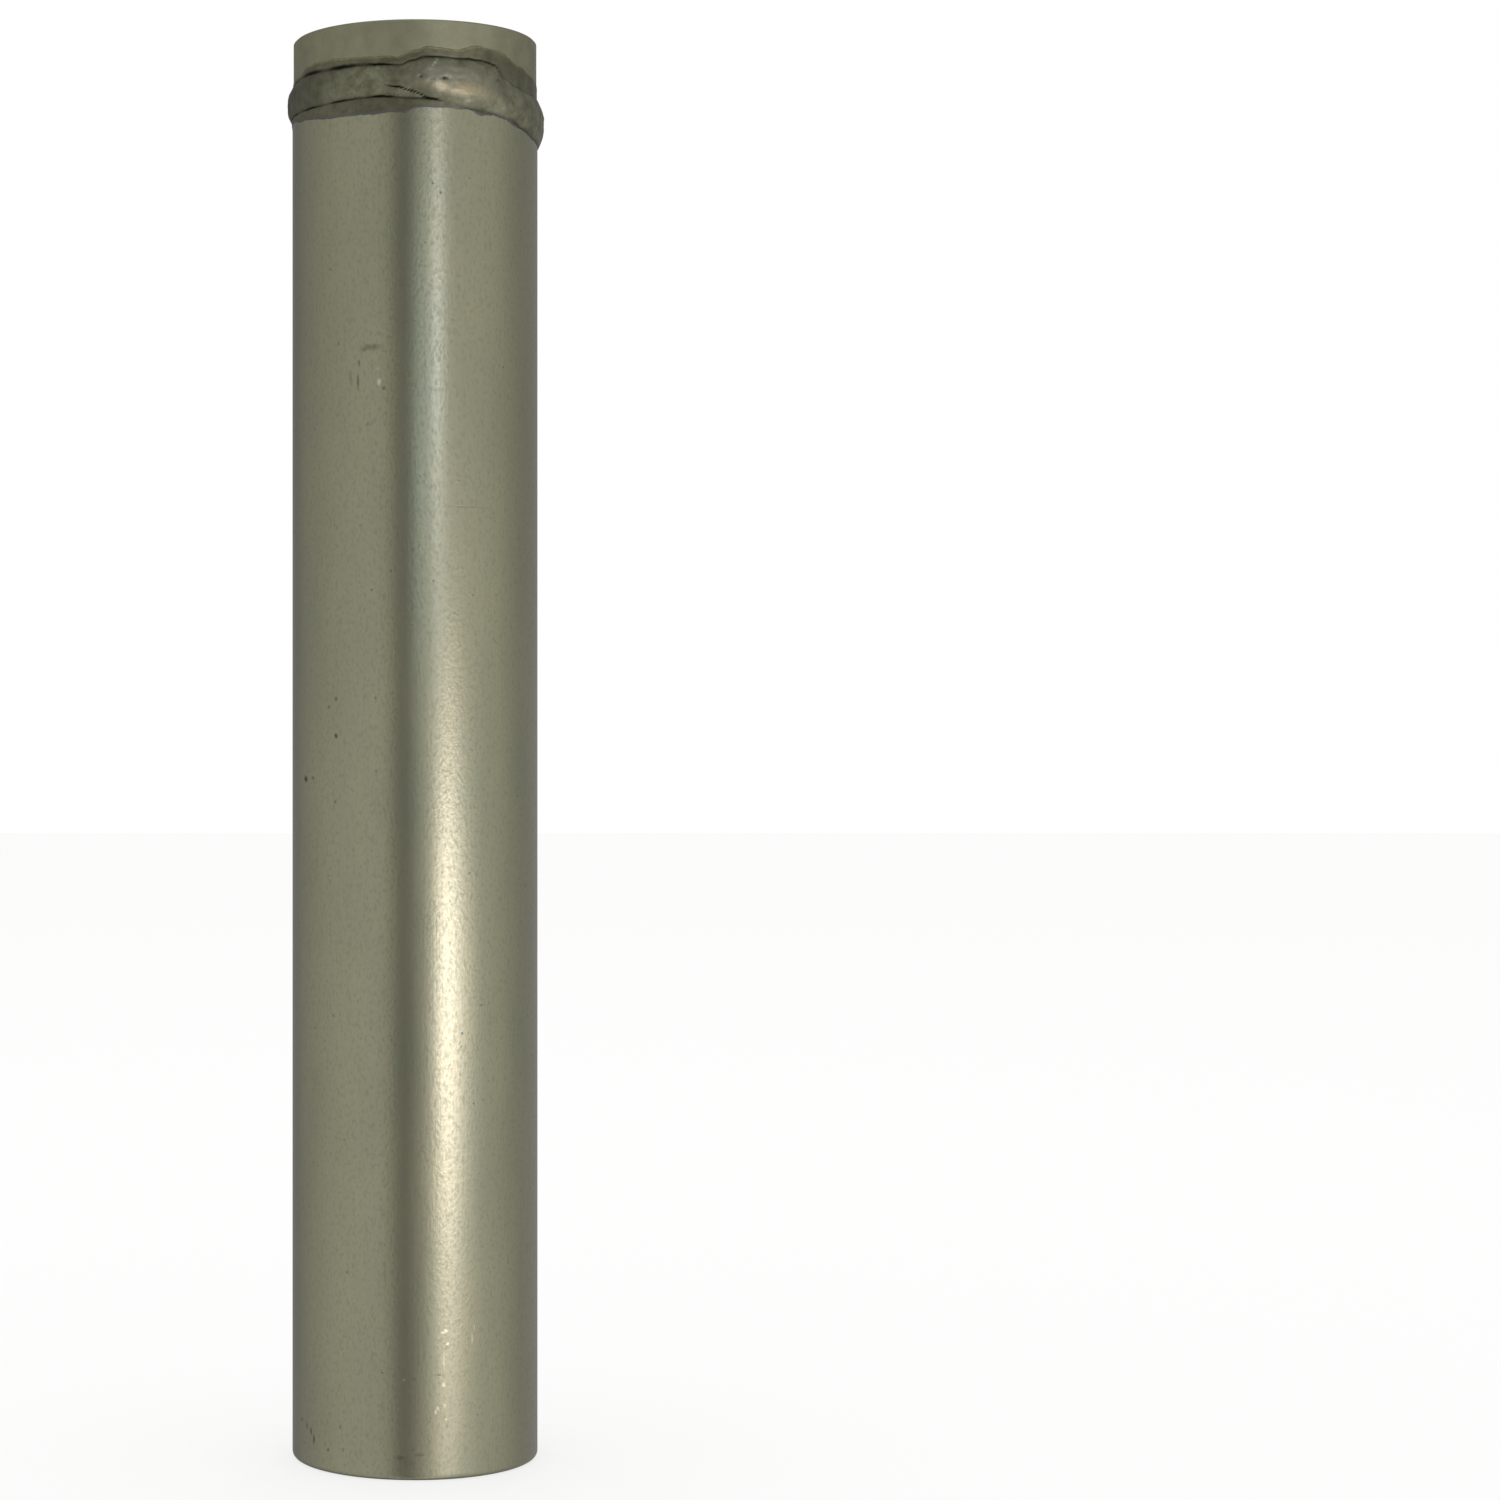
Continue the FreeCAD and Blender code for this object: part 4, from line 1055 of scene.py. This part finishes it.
# Each strip: tint, power, share of it by direction, share of it by height.
STRIPS = [
    ("#fff4ff", 9.2, [(17, 0.0), (26, 1.0), (34, 1.0), (43, 0.3), (62, 0.0)],
     [(-60, 0.05), (-18, 0.10), (-13.5, 0.15), (-10.2, 0.4), (-7.9, 1.0), (-6.6, 1.0), (-4.8, 0.32),
      (-2.6, 0.06), (0.5, 0.0)]),
    ("#d9e1ff", 5.6, [(15, 0.0), (19, 1.0), (22, 1.0), (26, 0.0)],
     [(-3, 0.0), (1, 0.15), (4, 0.75), (6, 1.0), (8, 0.75), (11, 0.2), (40, 0.0)]),
    ("#c8ecff", 1.9, [(0, 0.0), (3, 1.0), (6, 1.0), (9, 0.0)],
     [(-3, 0.0), (1, 0.6), (3, 1.0), (6, 0.8), (9, 0.2), (14, 0.0)]),
]
print(len(STRIPS), "strips, powers", [power for tint, power, sideways, upright in STRIPS])

# %% [markdown]
# The world's nodes find the direction of each ray, in degrees round and up, and read these lists as colour
# ramps. Only reflections see the stripes: matt surfaces get even light, and the camera sees white.

# %% Nodes of the surround
world = bpy.data.worlds.new("studio")
bpy.context.scene.world = world
world.use_nodes = True
sky = world.node_tree
sky.nodes.clear()


def profile(degrees, points):
    """Brightness that follows a list of (degrees, brightness)."""
    along = add(sky, "Math", {0: degrees, 1: 1 / 360, 2: 0.5}, operation="MULTIPLY_ADD")
    brightness = add(sky, "ValToRGB", {0: along})
    stops = brightness.node.color_ramp.elements
    while len(stops) < len(points):
        stops.new(0.5)
    for stop, (turn, level) in zip(stops, points):
        stop.position = turn / 360 + 0.5
        stop.color = (level, level, level, 1)
    return brightness


def by_direction(sideways, upright):
    """Brightness by compass direction times brightness by height."""
    return add(sky, "Math", {0: profile(bearing, sideways), 1: profile(height, upright)},
               operation="MULTIPLY")


towards = add(sky, "TexCoord", out="Generated")
right, back, up = (add(sky, "SeparateXYZ", {0: towards}, axis) for axis in range(3))
front = add(sky, "Math", {0: back, 1: -1.0}, operation="MULTIPLY")
bearing = add(sky, "Math", {0: right, 1: front}, operation="ARCTAN2")
bearing = add(sky, "Math", {0: bearing}, operation="DEGREES")
height = add(sky, "Math", {0: up}, operation="ARCSINE")
height = add(sky, "Math", {0: height}, operation="DEGREES")

overhead = add(sky, "MapRange", {0: height, 1: OVERHEAD_FROM, 2: OVERHEAD_TO})
level = add(sky, "Mix", {
    0: overhead, 2: by_direction(SURROUND, SURROUND_HEIGHT), 3: OVERHEAD}, data_type="FLOAT")
studio = add(sky, "Background", {"Color": colour("#ffffff"), "Strength": level})
for tint, power, sideways, upright in STRIPS:
    level = add(sky, "Math", {0: by_direction(sideways, upright), 1: power}, operation="MULTIPLY")
    strip = add(sky, "Background", {"Color": colour(tint), "Strength": level})
    studio = add(sky, "AddShader", {0: studio, 1: strip})
plain, backdrop = (add(sky, "Background", {"Color": colour("#ffffff"), "Strength": strength})
                   for strength in (EVEN_LIGHT, BACKDROP))
glossy, seen, through = (add(sky, "LightPath", out=f"Is {kind} Ray")
                         for kind in ("Glossy", "Camera", "Transmission"))
seen = add(sky, "Math", {0: seen, 1: through}, operation="MAXIMUM")
lit = add(sky, "MixShader", {0: glossy, 1: plain, 2: studio})
shown = add(sky, "MixShader", {0: seen, 1: lit, 2: backdrop})
add(sky, "OutputWorld", {"Surface": shown})
print("surround:", len(sky.nodes), "nodes")

# %% [markdown]
# Three narrow lamps above and behind the can light the port face. They give the three bright cones that the
# end view of the photograph shows, and a soft shadow on the floor.

# %% Lamps
LAMP_RISE = math.radians(70)
LAMP_DISTANCE = 1.2
LAMP_TALL = 0.3


def add_lamp(name, bearing, width, power, tint):
    """Soft lamp aimed at the port face from this bearing, in degrees from +X."""
    data = bpy.data.lights.new(name, "AREA")
    data.shape = "RECTANGLE"
    data.size = width
    data.size_y = LAMP_TALL
    data.energy = power
    data.color = colour(tint)[:3]
    lamp = bpy.data.objects.new(name, data)
    bpy.context.scene.collection.objects.link(lamp)
    turn = math.radians(bearing)
    level = math.cos(LAMP_RISE)
    towards_lamp = Vector((math.cos(turn) * level, math.sin(turn) * level, math.sin(LAMP_RISE)))
    lamp.location = Vector((0, 0, TOP)) + towards_lamp * LAMP_DISTANCE
    lamp.rotation_euler = towards_lamp.to_track_quat("Z", "Y").to_euler()
    lamp.visible_camera = False
    return lamp


for lamp in (add_lamp("left_window", 119, 0.03, 0.46, "#e2edff"),
             add_lamp("warm_lamp", 91, 0.07, 0.60, "#fff2e6"),
             add_lamp("right_window", 73, 0.03, 0.57, "#e2edff")):
    print(lamp.name, [round(value, 2) for value in lamp.location])

# %% Finish
bpy.context.scene.view_settings.view_transform = "Standard"
